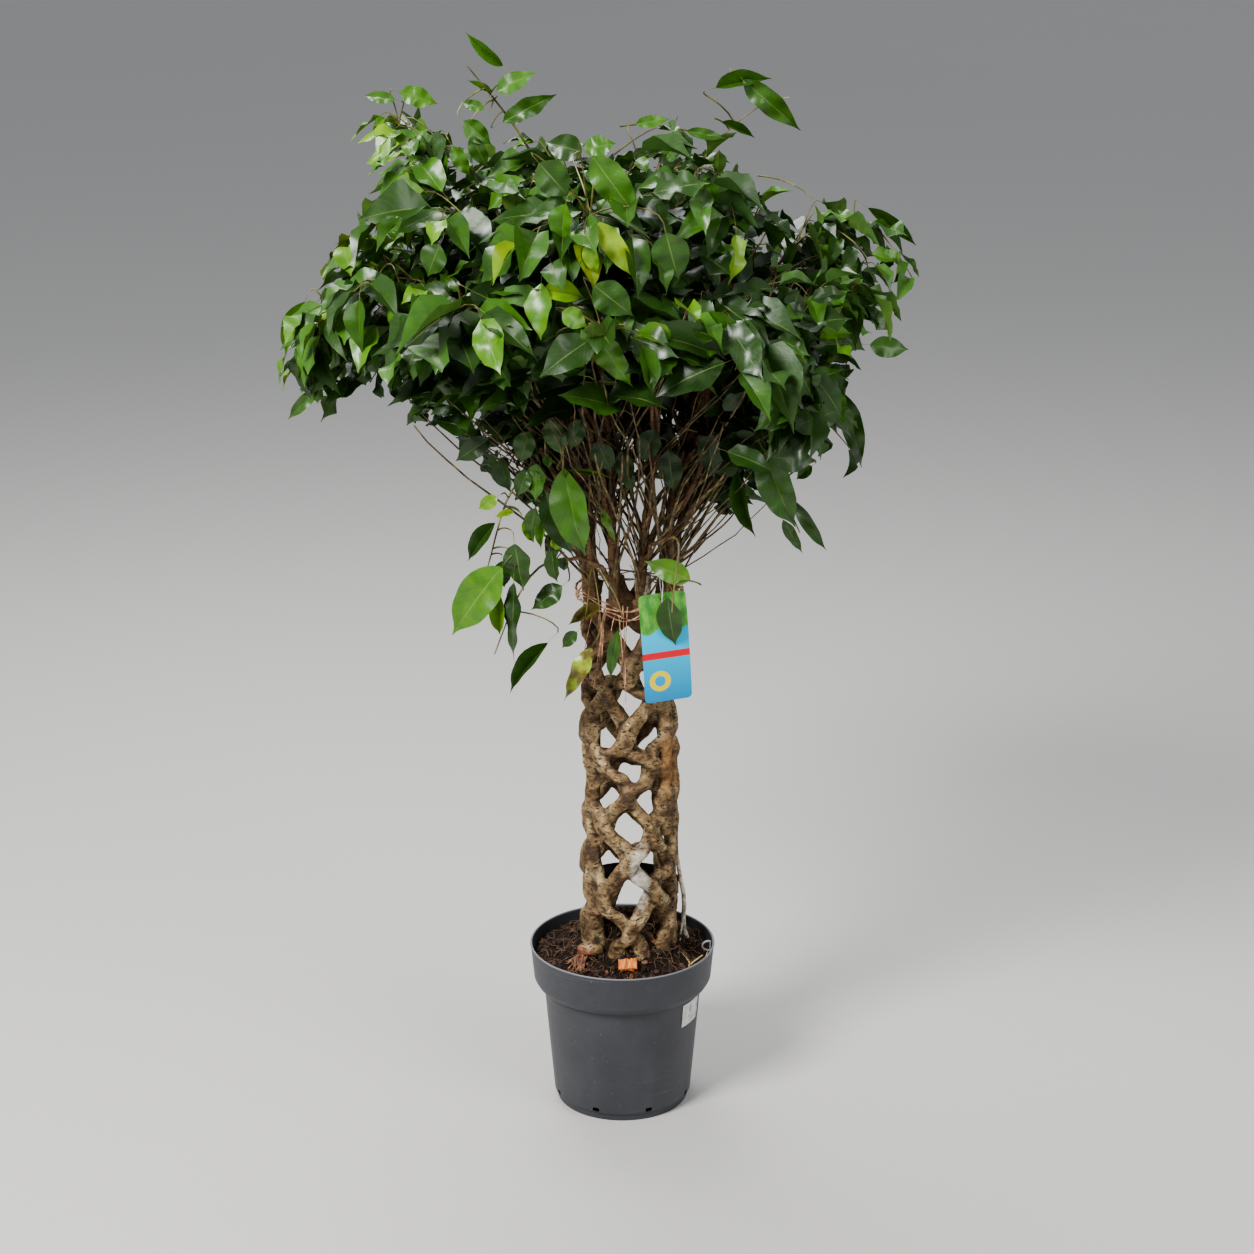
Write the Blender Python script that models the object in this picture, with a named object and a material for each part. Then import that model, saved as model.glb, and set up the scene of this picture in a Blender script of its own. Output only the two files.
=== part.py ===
"""Potted weeping fig with a braided lattice trunk, in a plain 24 cm nursery pot.

Units are metres and +Z is up. The origin is the middle of the pot's underside,
so the plant stands on the plane z = 0. Its front faces -Y.
"""

from math import cos, exp, log, pi, radians, sin
import random

import bpy
import bmesh
from mathutils import Vector
from mathutils.bvhtree import BVHTree

GAP = 0.0003  # clearance between two pieces that touch
SMOOTH_BELOW = 40  # edges flatter than this many degrees are shaded smooth

# Pot
POT_SEGMENTS = 40
POT_HEIGHT = 0.218
WALL = 0.0022
FLOOR_THICK = 0.004
FOOT_RADIUS = 0.086
FOOT_HEIGHT = 0.009
FOOT_FLARE = 0.0006
FOOT_STEP = 0.002
WALL_FOOT_RADIUS = 0.090
WALL_TOP_RADIUS = 0.103
WALL_TOP_Z = 0.160
COLLAR_STEP_RADIUS = 0.1115
COLLAR_FOOT_RADIUS = 0.116
COLLAR_TOP_RADIUS = 0.120
LIP_RADIUS = 0.121
LIP_BEVEL = 0.0008
COLLAR_FOOT_Z = 0.172
COLLAR_STEP_Z = 0.164
LIP_THICK = 0.003
DRAIN_SLOTS = 8
DRAIN_WIDE = 0.009
DRAIN_LOW_Z = 0.0115
DRAIN_HIGH_Z = 0.0175
DRAIN_FROM_RADIUS = 0.082
DRAIN_TO_RADIUS = 0.094

# Soil: a level bed at the wall and a mound round the trunk
SOIL_LEVEL = 0.198
SOIL_RIM_RADIUS = 0.1159
SOIL_RING_SHARES = (1.0, 0.82, 0.62, 0.40, 0.18)
MOUND_HEIGHT = 0.055
MOUND_SPREAD = 0.0707
MOUND_X, MOUND_Y = 0.012, 0.012
HOLLOW_DEPTH, HOLLOW_SPREAD = 0.018, 0.024
HOLLOW_X, HOLLOW_Y = 0.094, -0.004
BROAD_LUMPS, FINE_LUMPS = 0.0016, 0.0012
SOCKET_DEPTH = 0.030
SOCKET_TOP_STEP = -3.6
SOCKET_GAP = 0.0004

# Braided trunk: ten stems, five winding each way
TRUNK_X = 0.009
STEMS = 10
BRAID_RADIUS = 0.052
HALF_LEVEL = 0.04425  # height in which a stem moves one tenth of a turn
FRONT_CROSSING_Z = 0.436
FIRST_STEP, LAST_STEP = -4.5, 5.5  # where the ten stems stand evenly spaced
EASE = 0.10
STEEP = -0.55  # stems run steeper where they cross
WEAVE = 0.0073
WEAVE_FLAT = 0.4
STEM_WIDE = 0.0108
STEM_DEEP_AT_CROSSING = 0.0079
STEM_DEEP = 0.0060
FOOT_WIDE = 0.0115
FOOT_DEEP = 0.01035
FOOT_FADE_FROM, FOOT_FADE_LONG = -4.35, 0.5  # the steps in which a stem's foot narrows to its stem
FLAT_SIDE = 0.78  # how far a six-sided section's fattening reaches at its flats
STEM_SIDES = 6
SAMPLES_PER_STEP = 3

# Limbs and boughs above the braid
LIMB_RADIUS = 0.0085
LIMB_TOP_RADIUS = 0.0042
LIMB_TOP_Z = 0.96
LIMB_LEAN = 0.046
LIMB_SWAY = 2.5
LIMB_START = 0.012
LIMB_RING_NEAR, LIMB_RING_FAR = 0.022, 0.030  # spacing of a limb's first rings, and of the rest
BOUGH_RADIUS = 0.0036
BOUGH_TIP_RADIUS = 0.0024
BOUGH_SECTIONS = 4
BOUGH_NECK = 0.012

# Tiers of leafy sprays: tips, tip radius, tip height, first azimuth, spray end radius, spray end height, fork height,
# and the share by which the tier is drawn in at the front
TIERS = (
    (10, 0.225, 0.985, 4.0, 0.345, 0.955, 0.80, 0.35),
    (10, 0.185, 1.080, 22.0, 0.320, 1.085, 0.86, 0.0),
    (7, 0.130, 1.130, 10.0, 0.240, 1.205, 0.90, 0.0),
    (3, 0.045, 1.135, 70.0, 0.075, 1.265, 0.93, 0.0),
)
TIER_SAG = 0.022
CROWN_X = -0.022

# Sprays placed by eye: bough tip, spray end, sag, azimuth of the limb that bears it, fork height
FEATURES = (
    ((-0.095, -0.030, 1.190), (-0.180, -0.050, 1.350), 0.010, 216, 0.91),
    ((0.085, -0.040, 1.190), (0.195, -0.060, 1.315), 0.030, 324, 0.91),
    ((-0.150, 0.010, 1.170), (-0.265, 0.000, 1.275), 0.020, 180, 0.91),
    ((-0.270, -0.050, 1.060), (-0.385, -0.070, 1.005), 0.030, 180, 0.84),
    ((0.210, -0.005, 1.135), (0.315, 0.000, 1.150), 0.020, 360, 0.87),
    ((-0.110, -0.080, 0.860), (-0.170, -0.120, 0.740), 0.000, 216, 0.77),
    ((-0.075, -0.095, 0.765), (-0.155, -0.130, 0.655), 0.020, 252, 0.725),
    ((0.150, -0.070, 0.880), (0.215, -0.100, 0.800), 0.010, 324, 0.77),
    ((0.062, -0.120, 0.800), (0.060, -0.150, 0.715), 0.010, 288, 0.745),
)

# Leafy sprays
TWIG_RADIUS = 0.0021
TWIG_TIP_RADIUS = 0.0010
TWIG_SEGMENTS = 8
TWIG_TRIES = 20
TWIG_SHIFT = 0.02
SQUAREST_LEAF = 0.45  # a leaf leaves its twig's side at no flatter an angle than this cosine
END_LEAF_SIZE = 0.88
LEAF_LONG = 0.078
LEAF_WIDE = 0.040
LEAF_THICK = 0.0016
LEAF_WIDEST_AT = 0.42
LEAF_TRIES = 14
LEAF_ROOT = 0.0035  # the first stretch of a leaf, which its own twig may touch
STALK_LENGTH_SHARE, STALK_WIDTH_SHARE = 0.16, 0.7
CLEARANCE = 0.0012

# Small things on the plant and the pot
BAND_Z, BAND_TALL, BAND_THICK = 0.288, 0.025, 0.0012
BAND_FROM, BAND_TO, BAND_STEPS = 18, 122, 14
TAG_WIDE, TAG_TALL, TAG_THICK = 0.060, 0.140, 0.0006
TAG_CORNER = 0.006
TAG_X, TAG_Y, TAG_TOP_Z = 0.053, -0.0915, 0.7215
TAG_HOLE_RADIUS = 0.0025
TAG_HOLE_DROP = 0.008
TAG_CUT_REACH = 0.004
WIRE_RADIUS = 0.0006
TIE_Z, TIE_RADIUS, TIE_STEPS = 0.694, 0.0014, 30
STICKER_TALL, STICKER_THICK, STICKER_STEPS = 0.032, 0.0003, 4
STICKER_Z = 0.139
STICKER_FROM, STICKER_TO = 320, 343
EYELET_RADIUS, EYELET_WIRE, EYELET_STEPS = 0.0065, 0.0013, 8
EYELET_BOW = 1.3  # how much further the loop reaches inwards than up
EYELET_STRAIGHT = 0.002
CHIP_X, CHIP_Y = 0.007, -0.074
CHIP_LONG, CHIP_WIDE, CHIP_THICK = 0.024, 0.017, 0.005
CHIP_OUTLINE = ((-0.5, -0.35), (-0.1, -0.5), (0.45, -0.4), (0.5, 0.2), (0.15, 0.5), (-0.4, 0.4))
CHIP_REST = 0.0005
ROOT_RADIUS = 0.0028
ROOT_X, ROOT_Y = 0.079, 0.020
ROOT_PATH = ((0.001, 0.0, 0.030), (0.002, -0.002, 0.065), (-0.001, -0.004, 0.095), (-0.004, -0.006, 0.125))
WALL_FIT = 0.0006  # extra clearance where a faceted wall stands in for a round one

LEAF_GREEN = (0.035, 0.115, 0.025)
BARK = (0.34, 0.25, 0.16)
POT_GREY = (0.085, 0.086, 0.092)
SOIL_BROWN = (0.035, 0.022, 0.015)

occupied = {}  # node name: a tree of its faces, for keeping pieces apart


def clear_scene():
    for obj in list(bpy.data.objects):
        bpy.data.objects.remove(obj, do_unlink=True)


def material(name, colour, roughness, metallic=0.0):
    found = bpy.data.materials.get(name)
    if found:
        return found
    made = bpy.data.materials.new(name)
    made.use_nodes = True
    shader = made.node_tree.nodes["Principled BSDF"]
    shader.inputs["Base Color"].default_value = (*colour, 1.0)
    shader.inputs["Roughness"].default_value = roughness
    shader.inputs["Metallic"].default_value = metallic
    return made


def finish(bm, name, finish_material):
    """Turn a bmesh into the named object, and remember the space it takes."""
    occupied[name] = BVHTree.FromBMesh(bm)
    mesh = bpy.data.meshes.new(name)
    bm.to_mesh(mesh)
    bm.free()
    mesh.materials.append(finish_material)
    mesh.shade_smooth()
    mesh.set_sharp_from_angle(angle=radians(SMOOTH_BELOW))
    obj = bpy.data.objects.new(name, mesh)
    bpy.context.scene.collection.objects.link(obj)
    return obj


def cutter(bm, name):
    mesh = bpy.data.meshes.new(name)
    bm.to_mesh(mesh)
    bm.free()
    obj = bpy.data.objects.new(name, mesh)
    obj.hide_render = True
    obj.display_type = "WIRE"
    bpy.context.scene.collection.objects.link(obj)
    return obj


def cut(obj, tool):
    modifier = obj.modifiers.new(tool.name, "BOOLEAN")
    modifier.operation = "DIFFERENCE"
    modifier.solver = "EXACT"
    modifier.object = tool


def polar(radius, degrees, z):
    return Vector((radius * cos(radians(degrees)), radius * sin(radians(degrees)), z))


def smoothstep(x):
    x = min(max(x, 0.0), 1.0)
    return x * x * (3 - 2 * x)


def bezier(start, first, second, end, t):
    return start * (1 - t) ** 3 + first * 3 * t * (1 - t) ** 2 + second * 3 * t * t * (1 - t) + end * t**3


def random_vector(draw):
    return Vector((draw.uniform(-1, 1), draw.uniform(-1, 1), draw.uniform(-1, 1)))


# Building blocks


def ring(bm, centre, wide, deep, sides):
    """A ring of vertices, counter-clockwise about the cross product of wide and deep."""
    turns = [2 * pi * k / sides for k in range(sides)]
    return [bm.verts.new(centre + wide * cos(a) + deep * sin(a)) for a in turns]


def wrap(bm, low, high):
    """The side faces between two rings."""
    count = len(low)
    return [
        bm.faces.new((low[k], low[(k + 1) % count], high[(k + 1) % count], high[k]))
        for k in range(count)
    ]


def skin(bm, rings):
    """A closed tube through rings. Returns its side faces, one list for each segment."""
    segments = [wrap(bm, low, high) for low, high in zip(rings, rings[1:])]
    bm.faces.new(list(reversed(rings[0])))
    bm.faces.new(rings[-1])
    return segments


def across(direction):
    """A unit vector square to direction and as level as can be."""
    level = Vector((0, 0, 1)).cross(direction)
    if level.length < 1e-4:
        level = Vector((1, 0, 0))
    return level.normalized()


def tube_rings(bm, points, radii, sides, first=None):
    """Rings along a path. The first one faces along first, where that is given."""
    rings = []
    for k, (point, radius) in enumerate(zip(points, radii)):
        direction = (points[min(k + 1, len(points) - 1)] - points[max(k - 1, 0)]).normalized()
        if k == 0 and first:
            direction = first
        wide = across(direction)
        rings.append(ring(bm, point, wide * radius, direction.cross(wide) * radius, sides))
    return rings


def grow(bm, face, sections, tip=None):
    """Grow an arm out of a four-sided face, through four-cornered sections of (centre, wide, deep)."""
    loop = list(face.verts)
    bm.faces.remove(face)
    for centre, wide, deep in sections:
        corners = [centre + wide, centre + deep, centre - wide, centre - deep]
        middle = sum((v.co for v in loop), Vector()) / 4
        start = loop[0].co - middle
        first = max(range(4), key=lambda k: (corners[k] - centre).normalized().dot(start))
        grown = [bm.verts.new(corners[(first + k) % 4]) for k in range(4)]
        wrap(bm, loop, grown)
        loop = grown
    if tip is None:
        bm.faces.new(loop)
        return
    point = bm.verts.new(tip)
    for k in range(4):
        bm.faces.new((loop[k], loop[(k + 1) % 4], point))


def turned(bm, profile):
    """The wall of a solid of revolution, through a profile of (radius, height). Returns its rings."""
    rings = []
    for radius, height in profile:
        spots = [polar(radius, 360 * k / POT_SEGMENTS, height) for k in range(POT_SEGMENTS)]
        rings.append([bm.verts.new(spot) for spot in spots])
    for low, high in zip(rings, rings[1:]):
        wrap(bm, low, high)
    return rings


# Pot


def pot_outside():
    """The outer profile of the pot, from the foot up to the lip."""
    return [
        (FOOT_RADIUS, 0.0),
        (FOOT_RADIUS + FOOT_FLARE, FOOT_HEIGHT),
        (WALL_FOOT_RADIUS, FOOT_HEIGHT + FOOT_STEP),
        (WALL_TOP_RADIUS, WALL_TOP_Z),
        (COLLAR_STEP_RADIUS, COLLAR_STEP_Z),
        (COLLAR_FOOT_RADIUS, COLLAR_FOOT_Z),
        (COLLAR_TOP_RADIUS, POT_HEIGHT - LIP_THICK),
        (LIP_RADIUS, POT_HEIGHT - LIP_THICK / 2),
        (LIP_RADIUS - LIP_BEVEL, POT_HEIGHT),
    ]


def pot_inside(offset):
    """The inner profile, from the lip down to the floor, drawn in from the outer wall by offset."""
    return [
        (COLLAR_TOP_RADIUS - offset, POT_HEIGHT),
        (COLLAR_FOOT_RADIUS - offset, COLLAR_FOOT_Z + offset * 0.4),
        (COLLAR_STEP_RADIUS - offset, COLLAR_STEP_Z + offset * 0.8),
        (WALL_TOP_RADIUS - offset, WALL_TOP_Z + offset * 0.4),
        (WALL_FOOT_RADIUS - offset, FLOOR_THICK + offset - WALL),
    ]


def make_pot():
    bm = bmesh.new()
    rings = turned(bm, pot_outside() + pot_inside(WALL))
    bm.faces.new(list(reversed(rings[0])))
    bm.faces.new(rings[-1])
    pot = finish(bm, "pot", material("pot_plastic", POT_GREY, 0.55))
    tools = bmesh.new()
    for k in range(DRAIN_SLOTS):
        slot_angle = 360 * (k + 0.5) / DRAIN_SLOTS
        outward = polar(1.0, slot_angle, 0.0)
        sideways = polar(DRAIN_WIDE / 2, slot_angle + 90, 0.0)
        low, high = Vector((0, 0, DRAIN_LOW_Z)), Vector((0, 0, DRAIN_HIGH_Z))
        ends = []
        for reach in (DRAIN_FROM_RADIUS, DRAIN_TO_RADIUS):
            spot = outward * reach
            corners = (spot - sideways + low, spot + sideways + low, spot + sideways + high, spot - sideways + high)
            ends.append([tools.verts.new(c) for c in corners])
        skin(tools, ends)
    cut(pot, cutter(tools, "drain_cutter"))


# Soil


def soil_height(x, y):
    mound = exp(-((x - MOUND_X) ** 2 + (y - MOUND_Y) ** 2) / MOUND_SPREAD**2)
    hollow = exp(-((x - HOLLOW_X) ** 2 + (y - HOLLOW_Y) ** 2) / HOLLOW_SPREAD**2)
    lumps = BROAD_LUMPS * sin(130 * x + 1.0) * cos(110 * y) + FINE_LUMPS * sin(240 * y + 90 * x)
    return SOIL_LEVEL + MOUND_HEIGHT * mound - HOLLOW_DEPTH * hollow + lumps


def make_soil():
    bm = bmesh.new()
    below = [
        (radius, height) for radius, height in reversed(pot_inside(WALL + GAP)) if height < SOIL_LEVEL
    ]
    below[0] = (below[0][0], FLOOR_THICK + GAP)
    rings = turned(bm, below)
    for share in SOIL_RING_SHARES:
        radius = SOIL_RIM_RADIUS * share
        spots = [polar(radius, 360 * k / POT_SEGMENTS, 0.0) for k in range(POT_SEGMENTS)]
        rings.append([bm.verts.new((s.x, s.y, soil_height(s.x, s.y))) for s in spots])
        wrap(bm, rings[-2], rings[-1])
    bm.faces.new(list(reversed(rings[0])))
    bm.faces.new(rings[-1])
    bmesh.ops.triangulate(bm, faces=bm.faces[:])
    soil = finish(bm, "soil", material("potting_soil", SOIL_BROWN, 0.95))
    for stem in range(STEMS):
        tool = bmesh.new()
        skin(tool, braid_rings(tool, stem, SOCKET_GAP, SOCKET_TOP_STEP))
        bmesh.ops.triangulate(tool, faces=tool.faces[:])
        cut(soil, cutter(tool, f"socket_cutter_{stem + 1:02d}"))


# Braided trunk, limbs and boughs


def eased(step):
    """The braid's step, held still below the first even spacing and above the last."""
    low = FIRST_STEP + EASE * log(1 + exp((step - FIRST_STEP) / EASE))
    return LAST_STEP - EASE * log(1 + exp((LAST_STEP - low) / EASE))


def stem_azimuth(stem, step):
    way = 1 if stem % 2 == 0 else -1
    column = -90 + 72 * (stem // 2)
    held = eased(step)
    return column + way * 36 * (held + STEEP * sin(2 * pi * held) / (2 * pi))


def stem_radius(stem, step):
    way = 1 if stem % 2 == 0 else -1
    held = eased(step)
    swing = cos(pi * held)
    flat = abs(swing) ** WEAVE_FLAT * (1 if swing > 0 else -1)
    return BRAID_RADIUS + way * WEAVE * flat


def step_height(step):
    return FRONT_CROSSING_Z + step * HALF_LEVEL


def stem_centre(stem, step):
    spot = polar(stem_radius(stem, step), stem_azimuth(stem, step), step_height(step))
    return spot + Vector((TRUNK_X, 0, 0))


def stem_foot_frame(stem):
    """The height of a stem's buried end, and the half axes of its section there."""
    azimuth = stem_azimuth(stem, FIRST_STEP - 1)
    foot = stem_centre(stem, FIRST_STEP - 1)
    low = soil_height(foot.x, foot.y) - SOCKET_DEPTH
    return low, polar(FOOT_WIDE, azimuth + 90, 0), -polar(FOOT_DEEP, azimuth, 0)


def limb_azimuth(stem):
    return stem_azimuth(stem, LAST_STEP + 1) % 360


def limb_point(stem, z):
    """A limb's centre line above the braid: it leans out as it climbs."""
    share = (z - step_height(LAST_STEP)) / (LIMB_TOP_Z - step_height(LAST_STEP))
    sway = LIMB_SWAY * sin(5.0 * share + 2.4 * stem)
    radius = BRAID_RADIUS + LIMB_LEAN * share**1.4
    return polar(radius, limb_azimuth(stem) + sway, z) + Vector((TRUNK_X, 0, 0))


def limb_thickness(z):
    share = (z - step_height(LAST_STEP)) / (LIMB_TOP_Z - step_height(LAST_STEP))
    return LIMB_RADIUS + (LIMB_TOP_RADIUS - LIMB_RADIUS) * min(share, 1.0)


def braid_rings(bm, stem, fatter=0.0, last_step=LAST_STEP):
    """Rings up one stem of the braid. A fatter copy of its foot cuts the stem's socket."""
    rings = []
    low, wide, deep = stem_foot_frame(stem)
    low -= fatter
    foot = stem_centre(stem, FIRST_STEP - 1)
    scale = 1 + fatter / FOOT_WIDE / FLAT_SIDE
    rings.append(ring(bm, Vector((foot.x, foot.y, low)), wide * scale, deep * scale, STEM_SIDES))
    samples = round((last_step - FIRST_STEP + 0.5) * SAMPLES_PER_STEP)
    for k in range(samples + 1):
        step = FIRST_STEP - 0.5 + k / SAMPLES_PER_STEP
        azimuth = stem_azimuth(stem, step)
        nearness = cos(pi * eased(step)) ** 2
        depth = STEM_DEEP + (STEM_DEEP_AT_CROSSING - STEM_DEEP) * nearness
        foot_share = smoothstep((FOOT_FADE_FROM - step) / FOOT_FADE_LONG)
        width = STEM_WIDE + (FOOT_WIDE - STEM_WIDE) * foot_share + fatter / FLAT_SIDE
        depth += (FOOT_DEEP - depth) * foot_share + fatter / FLAT_SIDE
        centre = stem_centre(stem, step)
        if centre.z < low + fatter + 0.004:
            continue
        rings.append(ring(bm, centre, polar(width, azimuth + 90, 0), -polar(depth, azimuth, 0), STEM_SIDES))
    return rings


def tiered_sprays():
    """Every spray as (bough tip, spray end, sag, limb azimuth, fork height)."""
    found = []
    for count, radius, height, first, end_radius, end_height, fork, front_draw in TIERS:
        for k in range(count):
            azimuth = first + 360 * k / count
            uneven = sin(7.1 * k + 3.0 * count)
            drawn = 1 - front_draw * max(0, -sin(radians(azimuth))) ** 2
            tip = polar(radius * drawn * (1 + 0.06 * uneven), azimuth, height + 0.014 * uneven)
            end = polar(end_radius * drawn * (1 + 0.04 * uneven), azimuth + 4 * uneven, end_height + 0.02 * uneven)
            shift = Vector((CROWN_X * height, 0, 0))
            found.append((tip + shift, end + shift, TIER_SAG, azimuth, fork))
    return found + [(Vector(t), Vector(e), sag, azimuth, fork) for t, e, sag, azimuth, fork in FEATURES]


def nearest_limb(azimuth):
    return min(range(STEMS), key=lambda s: abs((limb_azimuth(s) - azimuth + 180) % 360 - 180))


def bough_path(start, leave, tip):
    """Points from a fork to a bough's tip, leaving along one direction and arching over."""
    reach = (tip - start).length
    first = start + leave * reach * 0.35
    second = tip - ((tip - first) * Vector((1, 1, 0.35))).normalized() * reach * 0.3
    return [bezier(start, first, second, tip, (k + 1) / BOUGH_SECTIONS) for k in range(BOUGH_SECTIONS)]


def section(point, direction, radius):
    wide = across(direction) * radius
    return point, wide, direction.cross(wide)


def add_bough(bm, segments, heights, stem, spray):
    """Fork one bough out of the limb's side, from the free face that looks most towards its tip."""
    tip, _, _, _, fork = spray
    index = min(range(len(segments)), key=lambda k: abs(heights[k] - fork))
    towards = (tip - limb_point(stem, fork)).normalized()
    free = []
    for near in (index, index + 1, index - 1):
        if 0 <= near < len(segments):
            free += [(face.normal.dot(towards), near, side) for side, face in enumerate(segments[near]) if face]
    _, row, side = max(free)
    face = segments[row][side]
    segments[row][side] = None
    start, normal = face.calc_center_median(), face.normal.copy()
    leave = (normal * 0.8 + Vector((0, 0, 1))).normalized()
    sections = []
    previous = start
    neck = start + leave * BOUGH_NECK
    points = [neck] + bough_path(neck, leave, tip)
    for k, point in enumerate(points):
        after = points[k + 1] if k + 1 < len(points) else point + (point - previous)
        direction = (after - previous).normalized()
        radius = BOUGH_RADIUS + (BOUGH_TIP_RADIUS - BOUGH_RADIUS) * k / len(points)
        sections.append(section(point, direction, radius))
        previous = point
    grow(bm, face, sections)
    return sections[-1]


def make_stems(sprays):
    """The ten stems with their limbs. Returns, for each spray, the place and direction of its bough's end."""
    ends = {}
    bark = material("bark", BARK, 0.8)
    for stem in range(STEMS):
        bm = bmesh.new()
        rings = braid_rings(bm, stem)
        heights = []
        mine = [k for k, spray in enumerate(sprays) if nearest_limb(spray[3]) == stem]
        mine.sort(key=lambda k: -sprays[k][4])
        leader, others = mine[0], mine[1:]
        z = step_height(LAST_STEP) + LIMB_START
        braid_count = len(rings)
        while z < LIMB_TOP_Z - LIMB_START:
            point, above = limb_point(stem, z), limb_point(stem, z + 0.002)
            direction = (above - point).normalized()
            azimuth = limb_azimuth(stem)
            wide = polar(1.0, azimuth + 90, 0)
            deep = direction.cross(wide).normalized()
            radius = limb_thickness(z)
            rings.append(ring(bm, point, wide * radius, deep * radius, STEM_SIDES))
            heights.append(z)
            z += LIMB_RING_NEAR if len(heights) < 3 else LIMB_RING_FAR
        top = limb_point(stem, heights[-1])
        direction = (top - limb_point(stem, heights[-1] - 0.01)).normalized()
        path = bough_path(top, direction, sprays[leader][0])
        previous = top
        for k, point in enumerate(path):
            after = path[k + 1] if k + 1 < len(path) else point + (point - previous)
            direction = (after - previous).normalized()
            radius = LIMB_TOP_RADIUS + (BOUGH_TIP_RADIUS - LIMB_TOP_RADIUS) * (k + 1) / len(path)
            wide = across(direction)
            rings.append(ring(bm, point, wide * radius, direction.cross(wide) * radius, STEM_SIDES))
            previous = point
        rings = untwist(rings)
        segments = skin(bm, rings)
        bm.normal_update()
        ends[leader] = (path[-1], direction)
        limb_segments = segments[braid_count : braid_count + len(heights) - 1]
        for k in others:
            point, wide, deep = add_bough(bm, limb_segments, heights, stem, sprays[k])
            ends[k] = (point, wide.cross(deep).normalized())
            bm.normal_update()
        bmesh.ops.triangulate(bm, faces=bm.faces[:])
        finish(bm, f"stem_{stem + 1:02d}", bark)
    return ends


def untwist(rings):
    """Start each ring at the vertex that lies most nearly over the last ring's first one."""
    turned_rings = [rings[0]]
    for loop in rings[1:]:
        below = turned_rings[-1]
        middle_below = sum((v.co for v in below), Vector()) / len(below)
        middle = sum((v.co for v in loop), Vector()) / len(loop)
        start = (below[0].co - middle_below).normalized()
        first = max(range(len(loop)), key=lambda k: (loop[k].co - middle).normalized().dot(start))
        turned_rings.append(loop[first:] + loop[:first])
    return turned_rings


# Leafy sprays


def collides(tree, names):
    return any(tree.overlap(occupied[name]) for name in names)


def twig_points(start, direction, end, sag):
    """A twig's centre line, from the bough's end to the spray's end, sagging under its leaves."""
    first = start + direction * (end - start).length * 0.3
    second = start.lerp(end, 0.7) + Vector((0, 0, 1.5 * sag))
    return [bezier(start, first, second, end, k / TWIG_SEGMENTS) for k in range(TWIG_SEGMENTS + 1)]


def make_twig(start, direction, end, sag, others, draw):
    """A twig that clears every other piece: its far end is shifted a little until it does."""
    for _ in range(TWIG_TRIES):
        bm = bmesh.new()
        points = twig_points(start, direction, end, sag)
        steps = range(TWIG_SEGMENTS + 1)
        radii = [TWIG_RADIUS + (TWIG_TIP_RADIUS - TWIG_RADIUS) * k / TWIG_SEGMENTS for k in steps]
        rings = untwist(tube_rings(bm, points, radii, 4, direction))
        segments = skin(bm, rings)
        bm.normal_update()
        tree = BVHTree.FromBMesh(bm)
        if not collides(tree, others):
            return bm, points, rings[-1], segments, tree
        bm.free()
        end = end + random_vector(draw) * TWIG_SHIFT
    raise ValueError("no clear place for a twig")


def leaf_shape(base, direction, length, width, facing):
    """The widest section and the tip of one folded, drooping leaf."""
    side = direction.cross(facing).normalized()
    depth = direction.cross(side).normalized()
    widest = base + direction * length * LEAF_WIDEST_AT
    tip = base + direction * length + Vector((0, 0, -0.12 * length))
    if side.cross(depth).dot(direction) < 0:
        side = -side
    return widest, side * width / 2, depth * LEAF_THICK, tip


def stalk_corners(face, along):
    """The corners of a leaf's stalk where it leaves its twig: a short, narrower patch of the twig's face."""
    centre = face.calc_center_median()
    corners = []
    for vert in face.verts:
        offset = vert.co - centre
        length = along * offset.dot(along)
        corners.append(centre + length * STALK_LENGTH_SHARE + (offset - length) * STALK_WIDTH_SHARE)
    return corners


def leaf_tree(root, direction, root_gap, widest, side, depth, tip):
    """A slightly fatter stand-in for a leaf, for testing that it clears everything else."""
    wide = side.normalized() * (side.length + CLEARANCE)
    deep = depth.normalized() * (depth.length + CLEARANCE)
    end = tip + (tip - widest).normalized() * CLEARANCE
    hull = bmesh.new()
    for corner in root:
        hull.verts.new(corner + direction * root_gap)
    for spot in (widest + wide, widest + deep, widest - wide, widest - deep, end):
        hull.verts.new(spot)
    bmesh.ops.convex_hull(hull, input=hull.verts[:])
    tree = BVHTree.FromBMesh(hull)
    hull.free()
    return tree


def try_leaf(bm, face, root, heading, facing, size, neighbours, others):
    """Grow one leaf out of a face, if it clears its neighbours and every other piece. Returns its tree."""
    base = sum(root, Vector()) / 4
    shape = leaf_shape(base, heading, LEAF_LONG * size, LEAF_WIDE * size, facing)
    if collides(leaf_tree(root, heading, 0.0, *shape), others):
        return None
    tree = leaf_tree(root, heading, LEAF_ROOT, *shape)
    if any(tree.overlap(neighbour) for neighbour in neighbours):
        return None
    widest, wide, deep, tip = shape
    outer = list(face.verts)
    if (root[0] - outer[0].co).length > 0:
        bm.faces.remove(face)
        inner = [bm.verts.new(corner) for corner in root]
        wrap(bm, outer, inner)
        face = bm.faces.new(inner)
    grow(bm, face, [(widest, wide, deep)], tip)
    bm.normal_update()
    return tree


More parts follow.
